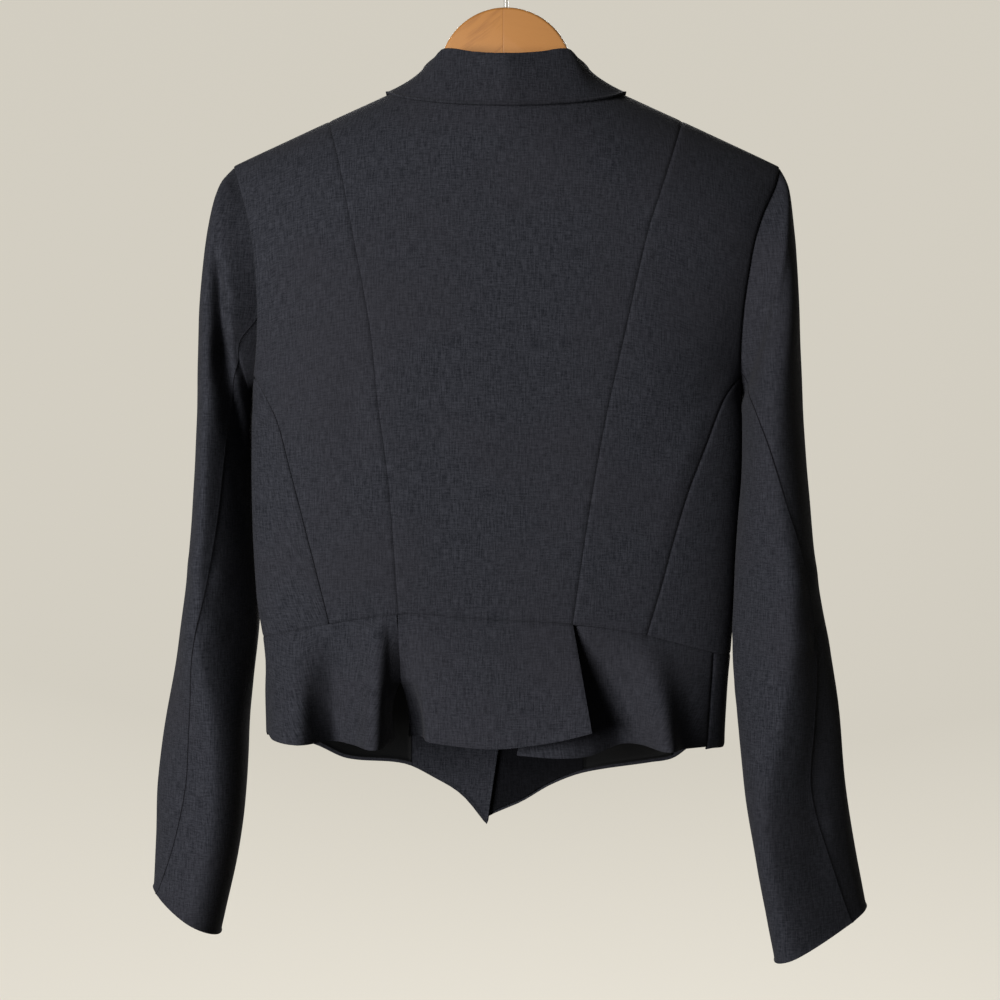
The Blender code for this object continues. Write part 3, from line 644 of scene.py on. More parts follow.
def face_areas(points):
    """The areas of a grid's cells, a row at a time."""
    first = np.cross(points[1:, :-1] - points[:-1, :-1], points[:-1, 1:] - points[:-1, :-1])
    second = np.cross(points[1:, :-1] - points[1:, 1:], points[:-1, 1:] - points[1:, 1:])
    return (np.linalg.norm(first, axis=-1) + np.linalg.norm(second, axis=-1)).sum(1) / 2


def smooth_faces(mesh):
    """Shades every face of a mesh as part of a curve."""
    for face in mesh.faces:
        face.smooth = True


def linked_object(name, mesh, finish=None):
    """A finished mesh becomes an object in the scene."""
    data = bpy.data.meshes.new(name)
    mesh.to_mesh(data)
    mesh.free()
    if finish is not None:
        data.materials.append(finish)
    made = bpy.data.objects.new(name, data)
    bpy.context.scene.collection.objects.link(made)
    return made


def add_piece(name, mesh, finish):
    """A piece rides on the model and stands for one of its nodes."""
    piece = linked_object(name + "_shown", mesh, finish)
    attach(piece, "root")
    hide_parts(name)
    return piece


# %% A panel on the body
def edge_heights(edge, column, shares):
    """The heights where a panel's columns meet an edge that is given as a height for each x."""
    low, high = np.full(shares.shape, PANEL_LOWEST_Z), np.full(shares.shape, PANEL_HIGHEST_Z)
    for _ in range(40):
        middle = (low + high) / 2
        under = middle < edge(body_point(column(shares, middle), middle)[..., 0])
        low, high = np.where(under, middle, low), np.where(under, high, middle)
    return (low + high) / 2


def panel_places(start, end, top, bottom, size, crowd=1.0, widening=0.0):
    """The angles and heights of a grid between two seams and two edges."""
    way = 1 if end(MIDDLE_Z) > start(MIDDLE_Z) else -1

    def column(share, z):
        first = inset(start(z), z, way * (SEAM_GAP / 2 + widening))
        last = inset(end(z), z, -way * SEAM_GAP / 2)
        return first + (last - first) * share

    ends = np.array([0.0, 0.5, 1.0])
    tops, bottoms = edge_heights(top, column, ends), edge_heights(bottom, column, ends)
    tall = np.ptp([tops, bottoms], axis=0).max()
    middle = np.full(2, tops[1] * 0.4 + bottoms[1] * 0.6)
    corners = body_point(column(np.array([0.0, 1.0]), middle), middle)
    shares = crowded(size[0], max(np.linalg.norm(corners[1] - corners[0]), 20.0))
    high, low = edge_heights(top, column, shares), edge_heights(bottom, column, shares)
    drops = crowded(size[1], tall) ** crowd
    z = high + (low - high) * drops[:, None]
    return column(shares, z), z


def body_grid(start, end, top, bottom, size, lift=None, crowd=1.0, widening=0.0):
    angle, z = panel_places(start, end, top, bottom, size, crowd, widening)
    points = body_point(angle, z)
    if lift is not None:
        points = points + body_normal(angle, z) * lift(points[..., 0])[..., None]
    return points


def shoulder_edge(x):
    return np.minimum(shoulder_z(x) - SHOULDER_TOP_DROP, NECK_Z)


def waist_edge(x):
    return WAIST.read("z", x) + SEAM_GAP / 2


def under_waist_edge(x):
    return WAIST.read("z", x) - SEAM_GAP / 2


def steps(upper, lower, z_change):
    """Two seams that follow each other down, as one."""
    return lambda z: np.where(z > z_change, upper(z), lower(z))


# %% [markdown]
# ## The back
#
# Three panels make the back: a centre back without a middle seam, and two side backs. The princess seams
# between them start at the shoulders and run in to the waist, which shapes the jacket without darts.

# %% Back panels
PRINCESS_LEFT = Table(
    "z x", (-120, -139), (-148, -131), (-189, -120), (-250, -108),
    (-306, -98), (-356, -93), (-418, -85), (-515, -78),
)
PRINCESS_RIGHT = Table(
    "z x", (-120, 139), (-149, 130), (-201, 113), (-235, 102),
    (-306, 86), (-374, 71), (-450, 58), (-520, 48),
)
SIDE_BACK_LEFT = Table(
    "z x", (-336, -186), (-350, -177.5), (-371, -167), (-402, -158.5),
    (-442, -148), (-505, -132), (-522, -128),
)
SIDE_BACK_RIGHT = Table(
    "z x", (-336, 172.5), (-355, 159), (-391, 144.5), (-422, 132.5),
    (-458, 121.5), (-488, 113.5), (-527, 102),
)
BACK_CREASES = crease_rows(
    (-110, -318, -106, -412, 4, 13, -1.5),
    (-60, -330, -52, -480, -6, 17, -0.9),
    (38, -300, 20, -470, 8, 20, -0.8),
    (112, -290, 88, -400, -6, 15, 1.0),
    (-168, -290, -140, -350, 5, 10, -0.9),
    (166, -300, 130, -372, -5, 10, -0.9),
    (-160, -440, -120, -500, 4, 9, -0.6),
    (60, -470, 100, -512, 3, 8, -0.6),
    (-60, -128, 60, -128, 6, 10, -0.8),
    (150, -360, 140, -516, 0, 26, 4.0),
)


def back_panels():
    armhole_left = steps(seam_angle(ARMHOLE, "left"), seam_angle(SIDE_BACK_LEFT), SIDE_TOP_Z)
    armhole_right = steps(seam_angle(ARMHOLE, "right"), seam_angle(SIDE_BACK_RIGHT), SIDE_TOP_Z)
    princess_left, princess_right = seam_angle(PRINCESS_LEFT), seam_angle(PRINCESS_RIGHT)
    for name, start, end, columns in (
        ("back_side_left", armhole_left, princess_left, 34),
        ("back_centre", princess_left, princess_right, 60),
        ("back_side_right", princess_right, armhole_right, 34),
    ):
        points = body_grid(start, end, shoulder_edge, waist_edge, (columns, 110), crowd=1.5)
        sew(name, points, suiting, "start end top bottom", back=BACK_CREASES)


back_panels()
print("back panels:", len(sewn))


# %% [markdown]
# ## The sides
#
# A narrow panel runs under each arm, from the armhole down to the waist seam. It joins the side back to the
# front.


# %% Side panels
def side_seam(degrees, left):
    turned = math.radians(180 - degrees if left else degrees)
    return lambda z: np.full(np.shape(z), turned)


def side_back_seam(table, left):
    """A seam on the back, with its angles on from those of the front on the same side."""
    seam = seam_angle(table)
    return lambda z: seam(z) - (0 if left else 2 * np.pi)


def side_front_seam(left):
    """The front panels' outer edge: the armhole, then the side seam."""
    under = side_seam(FRONT_SEAM_ANGLE, left)
    armhole = seam_angle(ARMHOLE, "left" if left else "right", back=False)
    joined = armhole(SIDE_TOP_Z)

    def lower(z):
        share = np.clip((SIDE_TOP_Z - z) / SIDE_SEAM_BLEND, 0, 1)
        return joined + (under(z) - joined) * share

    return steps(armhole, lower, SIDE_TOP_Z)


def side_panels():
    for left, table in ((True, SIDE_BACK_LEFT), (False, SIDE_BACK_RIGHT)):
        middle = BODY.read("left" if left else "right", ARMHOLE_LOW_Z)
        corner = table.read("x", SIDE_TOP_Z)

        def top(x, middle=middle, corner=corner):
            share = np.clip((x - middle) / (corner - middle), 0, 1)
            return ARMHOLE_LOW_Z + (SIDE_TOP_Z - ARMHOLE_LOW_Z) * share - SIDE_TOP_EASE

        name = "side_left" if left else "side_right"
        seams = side_back_seam(table, left), side_front_seam(left)
        points = body_grid(*seams, top, waist_edge, (34, 60), widening=2 * SEAM_GAP)
        sew(name, points, suiting, "start end top bottom", flip=-1 if left else 1)


side_panels()
print("panels so far:", len(sewn))

# %% [markdown]
# ## The fronts
#
# The fronts meet at one button, and the right one laps over the left one. Below the waist they swing away
# to points that hang lower than the peplum, so the inside of the points shows from behind: a facing of the
# same wool along the front edge, and black lining beside it. The right facing is darkened with painted shade.

# %% Fronts, facings and linings
FRONT_OVERLAP_LIFT, FRONT_OVERLAP_REACH = 4.4, 95.0
FACING_TOP_Z = -560.0
HEM_ALLOWANCE = 2.5
FACING_EDGE_X = {"left": -73.0, "right": 60.0}
# The right facing wears the darkened copy of the wool, whose darkness is painted shade.
FACING_FINISH = {"left": suiting, "right": painted_shade_wool}
LINING_EDGE_X = {"left": -150.0, "right": 128.0}
FRONT_EDGE = {
    "left": Table(
        "z x", (-121, -74.4), (-280, -38), (-400, -5), (-470, 6), (-560, 3), (-622, -6), (-679, -14.5)
    ),
    "right": Table(
        "z x", (-121, 74.4), (-280, 32), (-400, -6), (-470, -19), (-560, -20), (-622, -19), (-674, -15)
    ),
}
HEM = {
    "left": Table(
        "x z", (-178, -604), (-145, -616), (-122, -627), (-78, -632), (-55, -643), (-33, -657), (-14, -680)
    ),
    "right": Table(
        "x z",
        (-16, -675),
        (-9, -671),
        (12, -662),
        (34, -649),
        (60, -639),
        (111, -630),
        (128, -626),
        (146, -612.5),
        (162, -612),
    ),
}
FRONT_CREASES = crease_rows(
    (-12, -458, -120, -430, 6, 9, -1.2),
    (-8, -470, -110, -500, -5, 9, -1.0),
    (10, -456, 110, -420, -6, 9, -1.2),
    (14, -468, 100, -505, 5, 9, -1.0),
    (-150, -330, -120, -420, 8, 13, -1.4),
    (140, -330, 112, -420, -8, 13, -1.4),
    (-60, -560, -40, -640, 4, 12, 0.9),
    (50, -560, 30, -640, -4, 12, 0.9),
)


def no_lift(x):
    return np.zeros_like(x)


def over_lift(x):
    """The right front lies over the left one, so it stands out where they meet."""
    return FRONT_OVERLAP_LIFT * (1 - ease(x / FRONT_OVERLAP_REACH))


FRONT_LIFT = {"left": no_lift, "right": over_lift}


def hem_edge(side, above=0.0):
    return lambda x: HEM[side].read("z", x) + above


def upright(x):
    """A seam that runs straight down."""
    return seam_angle(Table("z x", (PANEL_LOWEST_Z, x), (PANEL_HIGHEST_Z, x)), back=False)


def front_panels():
    for side in ("left", "right"):
        lift = FRONT_LIFT[side]
        flip = -1 if side == "left" else 1
        edge = seam_angle(FRONT_EDGE[side], back=False)
        outer = side_front_seam(side == "left")
        points = body_grid(outer, edge, shoulder_edge, hem_edge(side), (50, 130), lift, crowd=1.3)
        sew("front_" + side, points, suiting, "start top", flip=flip, front=FRONT_CREASES)

        def under_lift(x, lift=lift):
            return lift(x) - CLOTH - INSIDE_GAP

        def facing_top(x):
            return np.full(np.shape(x), FACING_TOP_Z)

        parting, inner = upright(FACING_EDGE_X[side]), upright(LINING_EDGE_X[side])
        for name, start, end, finish, seams in (
            ("facing_", parting, edge, FACING_FINISH[side], "start"),
            ("lining_", inner, parting, lining, "end"),
        ):
            low = hem_edge(side, HEM_ALLOWANCE)
            points = body_grid(start, end, facing_top, low, (26, 36), under_lift)
            sew(name + side, points, finish, seams, INNER_CLOTH, flip, calm=0.4)


front_panels()
print("panels so far:", len(sewn))

# %% [markdown]
# ## The lapels
#
# The lapels are the fronts' own facings, turned back over the chest. Each one rolls at the front edge and
# ends in a notch below the collar. They lie a little above the fronts, so they are made from the fronts'
# places, moved out.

# %% Lapels
COLLAR_FRONT_END_Z = -174.0
NOTCH_GAP, NOTCH_SLANT = 4.0, 20.0
LAPEL_LOW_Z = {"left": -374.0, "right": -431.0}
LAPEL = {
    "left": Table("z x", (-174, -106), (-204, -113), (-290, -86), (-375, -26)),
    "right": Table("z x", (-174, 106), (-204, 113), (-300, 82), (-432, 2)),
}
LAPEL_CROWN = 1.6


def lapels():
    for side in ("left", "right"):
        roll = seam_angle(FRONT_EDGE[side], back=False)
        outer = seam_angle(LAPEL[side], back=False)
        share, drop = np.meshgrid(crowded(26, 60.0), crowded(80, 230.0))
        high = COLLAR_FRONT_END_Z - NOTCH_GAP - NOTCH_SLANT * share
        z = high + (LAPEL_LOW_Z[side] - high) * drop
        angle = roll(z) + (outer(z) - roll(z)) * share
        on_front = body_point(angle, z)
        crown = LAPEL_CROWN * np.sin(np.pi * share) * np.sin(np.pi * np.clip(drop * 1.1, 0, 1))
        out = FRONT_LIFT[side](on_front[..., 0]) + LAYER_GAP + COLLAR_CLOTH + crown
        points = on_front + body_normal(angle, z) * out[..., None]
        flip = 1 if side == "left" else -1
        sew("lapel_" + side, points, suiting, "", COLLAR_CLOTH, flip, held="folded", calm=0.5)


lapels()
print("panels so far:", len(sewn))

# %% [markdown]
# ## The peplum
#
# The back skirt of the blazer is cut as a flare, so it falls in folds. Three pieces hang from the waist
# seam, and each has a short table of its folds: where a fold starts at the waist, and where its hem hangs.
# The centre piece overlaps the right one with a folded edge. Two plain sides close the peplum towards the
# fronts.

# %% Peplum
PEPLUM_SEAM = {
    "left": Table("z x", (-530, -178.6), (-604, -178)),
    "right": Table("z x", (-541, 152.4), (-612, 147.2)),
}
FOLD_COLUMNS = "fold waist_x tuck hem_x hem_y hem_z"
PEPLUM = {
    "peplum_left": Table(
        FOLD_COLUMNS,
        (0, -178, 0, -177.5, -5, -602),
        (1, -166, 0, -168, -45, -604),
        (2, -150, 0, -149, -66, -605),
        (3, -128, 0, -127, -34, -605),
        (4, -104, 0, -110, -52, -606),
        (5, -92, 0, -95, -80, -607),
        (6, -86, 0, -84, -54, -605),
        (7, -79.5, 0, -76.5, -34, -604),
    ),
    "peplum_centre": Table(
        FOLD_COLUMNS,
        (0, -78.7, 0, -75, -33.5, -604),
        (1, -72, 0, -66, -38, -603),
        (2, -60, 0, -53, -57, -604),
        (3, -25, 0, -10, -71, -607),
        (4, 15, 0, 32, -76, -602),
        (5, 48, -1, 61, -80, -595),
    ),
    "peplum_right": Table(
        FOLD_COLUMNS,
        (0, 30, 4.5, 8, -58, -613),
        (1, 40, 4.5, 38, -60, -615),
        (2, 50, 3.5, 60, -52, -614),
        (3, 58, 0, 84, -34, -607),
        (4, 80, 0, 99, -48, -606),
        (5, 104, 0, 116, -76, -609),
        (6, 124, 0, 127.5, -54, -609),
        (7, 152, 0, 146.8, -28.2, -610),
    ),
}
PEPLUM_SEWN = {"peplum_left": "start top", "peplum_centre": "top", "peplum_right": "end top"}
PEPLUM_PLAIN = {"peplum_left": "end", "peplum_centre": "start", "peplum_right": ""}
PEPLUM_CREASES = crease_rows(
    (-76, -560, -69, -618, 0, 10, -11.0),
    (-141, -556, -136, -606, 0, 8, -2.0),
    (130, -560, 136, -608, 0, 7, -1.5),
)


def peplum():
    for name, folds in PEPLUM.items():
        share, drop = np.meshgrid(crowded(110, 130.0), crowded(44, 95.0))
        fold = share * folds.keys[-1]
        waist_x = folds.read("waist_x", fold)
        z = under_waist_edge(waist_x)
        waist = body_point(angle_at(waist_x, z), z)
        waist[..., 1] += folds.read("tuck", fold)
        hem = np.stack([folds.read(column, fold) for column in ("hem_x", "hem_y", "hem_z")], -1)
        points = waist + (hem - waist) * drop[..., None]
        plain = PEPLUM_PLAIN[name]
        sew(name, points, suiting, PEPLUM_SEWN[name], back=PEPLUM_CREASES, calm=0.6, plain=plain)
    for side, seam in PEPLUM_SEAM.items():
        left = side == "left"
        seams = side_back_seam(seam, left), side_seam(FRONT_SEAM_ANGLE, left)
        points = body_grid(*seams, under_waist_edge, hem_edge(side), (22, 36))
        sew("peplum_side_" + side, points, suiting, "start end top", flip=-1 if left else 1)


peplum()
print("panels so far:", len(sewn))

# %% [markdown]
# ## The sleeves
#
# Each sleeve is cut in two: a wide top sleeve and a narrow under sleeve, and the seam between them shows
# behind the elbow. The sleeves hang pressed rather flat, so a section isn't round: it has a ridge where the
# press has left one, and a fold that sinks in beside it. A row of the table gives one section, from the
# armhole to the cuff. We walk round each section in even steps of cloth, so that the grid stays even where
# the section turns sharply.

# %% Sleeve sections
SLEEVE_COLUMNS = "ring outer_x outer_z inner_x inner_z mid_y deep seam ridge crisp fold fold_deep"
SLEEVE = {
    "left": Table(
        SLEEVE_COLUMNS,
        (0, -203, -180, -188, -345, 0, 40, -0.39, 0, 1, 0.95, 0),
        (1, -213, -193, -190.5, -350, 1, 47, -0.53, 0.15, 1, 0.6, 4),
        (2, -221, -223, -190, -358, 5, 53, -0.52, 0.3, 1.05, 0.25, 12),
        (3, -227, -271, -189.8, -370, 10, 57, -0.4, 0.35, 1.12, -0.02, 19),
        (4, -229.5, -320, -189.8, -386, 14, 59, -0.28, 0.4, 1.2, -0.5, 16),
        (5, -231.5, -372, -189.8, -413, 17, 58, -0.14, 0.42, 1.3, -0.85, 12),
        (6, -235, -430, -189.6, -452, 20, 56, 0.02, 0.42, 1.35, -1, 8),
        (7, -240, -486, -188, -497, 22, 54, 0.25, 0.42, 1.35, -1, 5),
        (8, -248.5, -541, -190, -543, 24, 52, 0.41, 0.25, 1.35, -1, 3),
        (9, -259, -592, -194.6, -594, 26, 50, 0.27, -0.25, 1.35, -0.5, 0),
        (10, -266.5, -642, -197.4, -646, 28, 48, 0.21, -0.4, 1.35, -0.5, 0),
        (11, -268.7, -688, -204, -698, 31, 46, 0.44, -0.4, 1.3, -0.5, 0),
        (12, -270.3, -724, -217.5, -757, 33, 44, 0.8, -0.3, 1.15, -0.5, 0),
    ),
    "right": Table(
        SLEEVE_COLUMNS,
        (0, 204, -180, 174, -345, 0, 40, -0.85, 0, 1, 0.3, 0),
        (1, 211, -196, 177, -350, -5, 47, -0.9, 0, 1, 0.3, 1),
        (2, 215.5, -228, 174.5, -358, -12, 52, -0.88, -0.2, 1, 0.25, 2.5),
        (3, 217, -270, 174, -370, -20, 55, -0.8, -0.25, 1.02, 0, 2),
        (4, 217.5, -315, 173.4, -388, -26, 56, -0.62, -0.25, 1.05, -0.2, 1),
        (5, 219, -368, 172.8, -414, -30, 55.5, -0.3, -0.2, 1.1, -0.2, 0),
        (6, 222, -420, 170.2, -449, -32, 54.8, 0.12, -0.05, 1.15, 0.3, 0),
        (7, 227, -478, 168.2, -494, -32, 52.8, 0.58, 0.16, 1.3, 0.8, 3),
        (8, 238.4, -539, 166.5, -541, -31, 50, 0.6, 0, 1.4, 0.7, 6),
        (9, 246.5, -591, 170.5, -591, -28, 48, 0.38, -0.32, 1.4, 0.6, 6),
        (10, 253.4, -641, 174.2, -641, -25, 46, 0.2, -0.6, 1.35, 0.3, 4),
        (11, 262.4, -688, 182.4, -696, -22, 44, 0.36, -0.72, 1.3, 0.1, 3),
        (12, 270.4, -732, 196.4, -765, -20, 42, 0.57, -0.66, 1.25, 0, 0),
    ),
}
LAST_RING = 12
FRONT_SEAM_TURN = math.radians(250)
FOLD_WIDE = 0.34
SECTION_STEPS = 72
SLEEVE_CREASES = {
    "left": crease_rows(
        (-227, -424, -228, -572, 1, 1.6, 0.9),
        (-236, -452, -214, -470, 2, 6, -0.9),
        (-240, -500, -212, -512, -2, 7, -0.8),
        (-246, -560, -214, -575, 2, 8, -0.7),
        (-256, -640, -226, -652, -2, 9, -0.6),
        (-214, -232, -204, -330, 2, 6, 0.8),
    ),
    "right": crease_rows(
        (214, -386, 212, -494, -1, 2.0, 0.9),
        (212, -490, 204, -566, 0, 2.0, 0.9),
        (204, -562, 187, -680, 2, 2.4, 0.8),
        (186, -488, 169, -532, -2, 7, -2.4),
        (180, -328, 187, -384, 1, 6, -3.0),
        (190, -338, 193, -376, 0, 4, 1.2),
        (188, -222, 184, -266, 2, 7, -1.6),
        (182, -470, 205, -455, 2, 8, -0.8),
        (235, -640, 214, -668, 2, 8, -0.9),
        (230, -700, 212, -722, -2, 8, -0.7),
    ),
}
SLEEVE_FRONT_CREASES = {
    "left": crease_rows(
        (-238, -470, -204, -492, 3, 8, -1.8),
        (-244, -520, -206, -528, -3, 9, -1.4),
        (-216, -250, -206, -340, 2, 9, -1.2),
        (-262, -650, -222, -668, 3, 10, -1.0),
    ),
    "right": crease_rows(
        (232, -474, 190, -496, -3, 8, -1.8),
        (240, -530, 188, -540, 3, 9, -1.4),
        (212, -250, 196, -340, -2, 9, -1.2),
        (256, -660, 206, -676, -3, 10, -1.0),
    ),
}


def section(theta, ridge, crisp):
    """A section's shares across and towards the back, at turns from its outer point."""
    back = signed_power(np.sin(theta), crisp)
    return np.sqrt(1 - ridge * ridge) * signed_power(np.cos(theta), crisp) + ridge * back, back


def section_reach(ridge, crisp):
    turns = np.linspace(0, 2 * np.pi, SECTION_STEPS, endpoint=False)
    return section(turns, np.asarray(ridge)[..., None], np.asarray(crisp)[..., None])[0].max(-1)


def armhole_point(left, theta):
    """The sleeve's edge at the armhole, on the body's own surface."""
    middle, half = (ARMHOLE_TOP_Z + ARMHOLE_LOW_Z) / 2, (ARMHOLE_TOP_Z - ARMHOLE_LOW_Z) / 2
    z = middle + half * np.cos(theta)
    x = ARMHOLE.read("left" if left else "right", z)
    points = body_point(angle_at(x, z, back=np.sin(theta) >= 0), z)
    points[..., 0] += -CURVED_SEAM_GAP if left else CURVED_SEAM_GAP
    return points


def ring_point(side, theta, ring):
    table = SLEEVE[side]
    row = {name: values[ring] for name, values in table.columns.items()}
    across, back = section(theta, row["ridge"], row["crisp"])
    across = across / section_reach(row["ridge"], row["crisp"])
    sunk = row["fold_deep"] * np.exp(-(((across - row["fold"]) / FOLD_WIDE) ** 2)) * np.maximum(back, 0)
    x = (row["outer_x"] + row["inner_x"]) / 2 + (row["outer_x"] - row["inner_x"]) / 2 * across
    y = row["mid_y"] + sunk - row["deep"] * back
    z = (row["outer_z"] + row["inner_z"]) / 2 + (row["outer_z"] - row["inner_z"]) / 2 * across
    points = np.stack(np.broadcast_arrays(x, y, z), -1)
    return np.where((ring == 0)[..., None], armhole_point(side == "left", theta), points)


def sleeve_point(side, theta, along):
    """Points on the smooth sleeve, along it in rings."""
    theta, along = (values.ravel() for values in np.broadcast_arrays(theta, along))
    first = np.minimum(along.astype(int), LAST_RING - 1)
    near = [np.clip(first + step, 0, LAST_RING) for step in (-1, 0, 1, 2)]
    rings = np.array([ring_point(side, theta, ring) for ring in near])
    keys = np.array([-1.0, 0.0, 1.0, 2.0])
    return np.stack([smooth_between(keys, rings[..., i], along - first) for i in range(3)], -1)


def seam_turns(side, along):
    """The turns where the back seam crosses the sleeve."""
    share, ridge, crisp = (SLEEVE[side].read(column, along) for column in ("seam", "ridge", "crisp"))
    low, high = np.zeros_like(along), np.full_like(along, np.pi)
    for _ in range(30):
        middle = (low + high) / 2
        outside = section(middle, ridge, crisp)[0] > share * section_reach(ridge, crisp)
        low, high = np.where(outside, middle, low), np.where(outside, high, middle)
    return (low + high) / 2


# %% Sleeve pieces
WALK_STEPS = 360
SLEEVE_TUCK = 3.0
ROUND = np.pi / 2 + np.linspace(-2 * np.pi, 2 * np.pi, 721)


def sleeve_grid(side, start, end, columns, rows):
    """A grid whose rows walk round the sleeve's sections in even steps of cloth, and its level lengths."""
    points, levels = [], []
    sign = 1 if side == "left" else -1
    ridge = len(ROUND) // 2
    for along in crowded(rows, 560.0) * LAST_RING:
        begin, finish = start(np.array([along]))[0], end(np.array([along]))[0]
        walk = np.linspace(begin, finish, WALK_STEPS)
        lengths = run_lengths(sleeve_point(side, walk, along)[None], 1)[0]
        gap = SEAM_GAP / 2 / lengths[-1]
        shares = gap + crowded(columns, lengths[-1]) * (1 - 2 * gap)
        turns = np.interp(shares * lengths[-1], lengths, walk)
        points.append(sleeve_point(side, turns, along))
        ring = sleeve_point(side, ROUND, along)
        level = run_lengths(ring[None] * (1, 1, 0), 1)[0]
        levels.append(np.interp(turns, ROUND, sign * (level - level[ridge]) + ring[ridge, 0]))
    return np.array(points), np.array(levels)


def tucked(points):
    """The sleeve with a seam allowance turned in under the armhole."""
    inside = np.array([0, 0, (ARMHOLE_TOP_Z + ARMHOLE_LOW_Z) / 2])
    allowance = points[0] + unit(inside - points[0]) * SLEEVE_TUCK
    return np.concatenate([allowance[None], points])


def sleeves():
    for side in ("left", "right"):

        def back_seam(along, side=side):
            return seam_turns(side, along)

        def front_seam(along):
            return np.full_like(along, FRONT_SEAM_TURN)

        def front_seam_before(along):
            return front_seam(along) - 2 * np.pi

        for name, start, end, columns in (
            ("sleeve_top_", front_seam_before, back_seam, 64),
            ("sleeve_under_", back_seam, front_seam, 48),
        ):
            points, levels = sleeve_grid(side, start, end, columns, 150)
            flip = -1 if side == "left" else 1
            creases = {"back": SLEEVE_CREASES[side], "front": SLEEVE_FRONT_CREASES[side]}
            levels = np.concatenate([levels[:1], levels])
            sew(name + side, tucked(points), suiting, "start end top", flip=flip, wide=levels, **creases)


sleeves()
print("panels so far:", len(sewn))

# %% [markdown]
# ## The collar
#
# The collar is one strip, folded along its length: the stand rises from the neck seam, and the fall turns
# down over it to an edge that lies on the back and the shoulders. Its profile has six points at each turn
# round the neck, and a smooth curve runs through them.

# %% Collar
COLLAR_FALL = 18.0
COLLAR_EDGE_HALF = 88.0
COLLAR_FOLD_INSIDE, COLLAR_FOLD_OUTSIDE, COLLAR_FOLD_DROP = 2.5, 3.0, 4.0
COLLAR_FRONT_EDGE = (106.0, -186.0)
COLLAR_PROUD, COLLAR_PROUD_TO = 3.2, 100.0
COLLAR_SHARES = np.array([0, 0.25, 0.36, 0.47, 0.72, 1])
COLLAR_STAND = Table(
    "turn height lean",
    (-20, 20.3, -4),
    (0, 18, -4),
    (20, 20.3, -4),
    (40, 24.3, -3),
    (50, 18.8, -4.5),
    (70, 14.5, -9.5),
    (90, 10, -12),
    (130, 7, -6),
    (180, 4, 0),
)


def collar_side(turn, right):
    """The neck seam and outer edge on one side, at turns from 0 at the centre back to 180 at the front."""
    lift = COLLAR_CLOTH + LAYER_GAP + COLLAR_PROUD * ease((COLLAR_PROUD_TO - turn) / 30)[:, None]
    behind = turn <= 90
    across = np.sin(np.radians(np.minimum(turn, 90)))
    start_z = shoulder_z(COLLAR_EDGE_HALF)
    share = np.clip((turn - 90) / 90, 0, 1)
    neck_z = NECK_Z + (COLLAR_FRONT_END_Z - NECK_Z) * share
    front_x = FRONT_EDGE["right" if right > 0 else "left"].read("x", neck_z)
    neck_x = np.where(behind, right * NECK_HALF_WIDTH * across, front_x)
    neck = body_point(angle_at(neck_x, neck_z, behind), neck_z)
    neck[..., 0] -= right * 2 * LAYER_GAP * share
    edge_x = right * (COLLAR_EDGE_HALF * across + (COLLAR_FRONT_EDGE[0] - COLLAR_EDGE_HALF) * share)
    hanging = start_z - COLLAR_FALL * np.cos(np.radians(np.minimum(turn, 90)))
    on_shoulder = shoulder_z(edge_x) - SHOULDER_TOP_DROP
    lying = np.minimum(start_z + (COLLAR_FRONT_EDGE[1] - start_z) * share, on_shoulder)
    edge_z = np.where(behind, hanging, lying)
    edge_angle = angle_at(edge_x, edge_z, behind)
    return neck, body_point(edge_angle, edge_z) + body_normal(edge_angle, edge_z) * lift


def collar():
    share, drop = np.meshgrid(crowded(150, 480.0), crowded(44, 70.0))
    flat_turn, drop = (360 * share - 180).ravel(), drop.ravel()
    turn = np.abs(flat_turn)
    sides = [collar_side(turn, right) for right in (1, -1)]
    is_right = (flat_turn >= 0)[:, None]
    neck, edge = (np.where(is_right, one, other) for one, other in zip(*sides))
    out = unit(neck * (1, 1, 0))
    neck = neck + (0, 0, LAYER_GAP)
    up = np.array([0, 0, 1.0])
    height, lean = (COLLAR_STAND.read(column, turn)[:, None] for column in ("height", "lean"))
    fold = neck + up * height + out * lean
    low = -up * np.minimum(COLLAR_FOLD_DROP, (fold - neck)[:, 2] / 2)[:, None]
    inside = fold - out * COLLAR_FOLD_INSIDE + low
    outside = fold + out * COLLAR_FOLD_OUTSIDE + low
    profile = np.array([neck, inside, fold, outside, (outside + edge) / 2, edge])
    points = np.stack([smooth_between(COLLAR_SHARES, profile[..., i], drop) for i in range(3)], -1)
    sew("collar", points.reshape(*share.shape, 3), suiting, "top", COLLAR_CLOTH, -1, held="folded", calm=0.5)


collar()
print("panels so far:", len(sewn))

# %% [markdown]
# ## The button
#
# One horn button fastens the fronts. It is turned: a profile with a raised rim and a dished middle is spun
# round an axis, and four holes are cut through the dish. Thread crosses between the holes.

# %% Button
BUTTON_THICK = 3.6
BUTTON_X, BUTTON_Z = -6.0, -462.0
BUTTON_HOLE, BUTTON_HOLE_OUT = 0.95, 2.1
BUTTON_PROFILE = ((0.0, 0.9), (4.6, 0.9), (6.2, 1.5), (7.6, 1.8), (9.0, 1.6), (9.8, 0.8), (10.0, 0.0))
BUTTON_BACK = ((9.8, -0.9), (8.6, -1.6), (4.0, -1.8), (0.0, -1.8))
STRAND_RADIUS, STRAND_PITCH, STRAND_SHARE = 0.24, 0.38, 0.78
STRAND_HEIGHT, STRAND_CROWN = 1.05, 0.10
QUARTER_TURN = Matrix.Rotation(math.radians(90), 3, "Y")


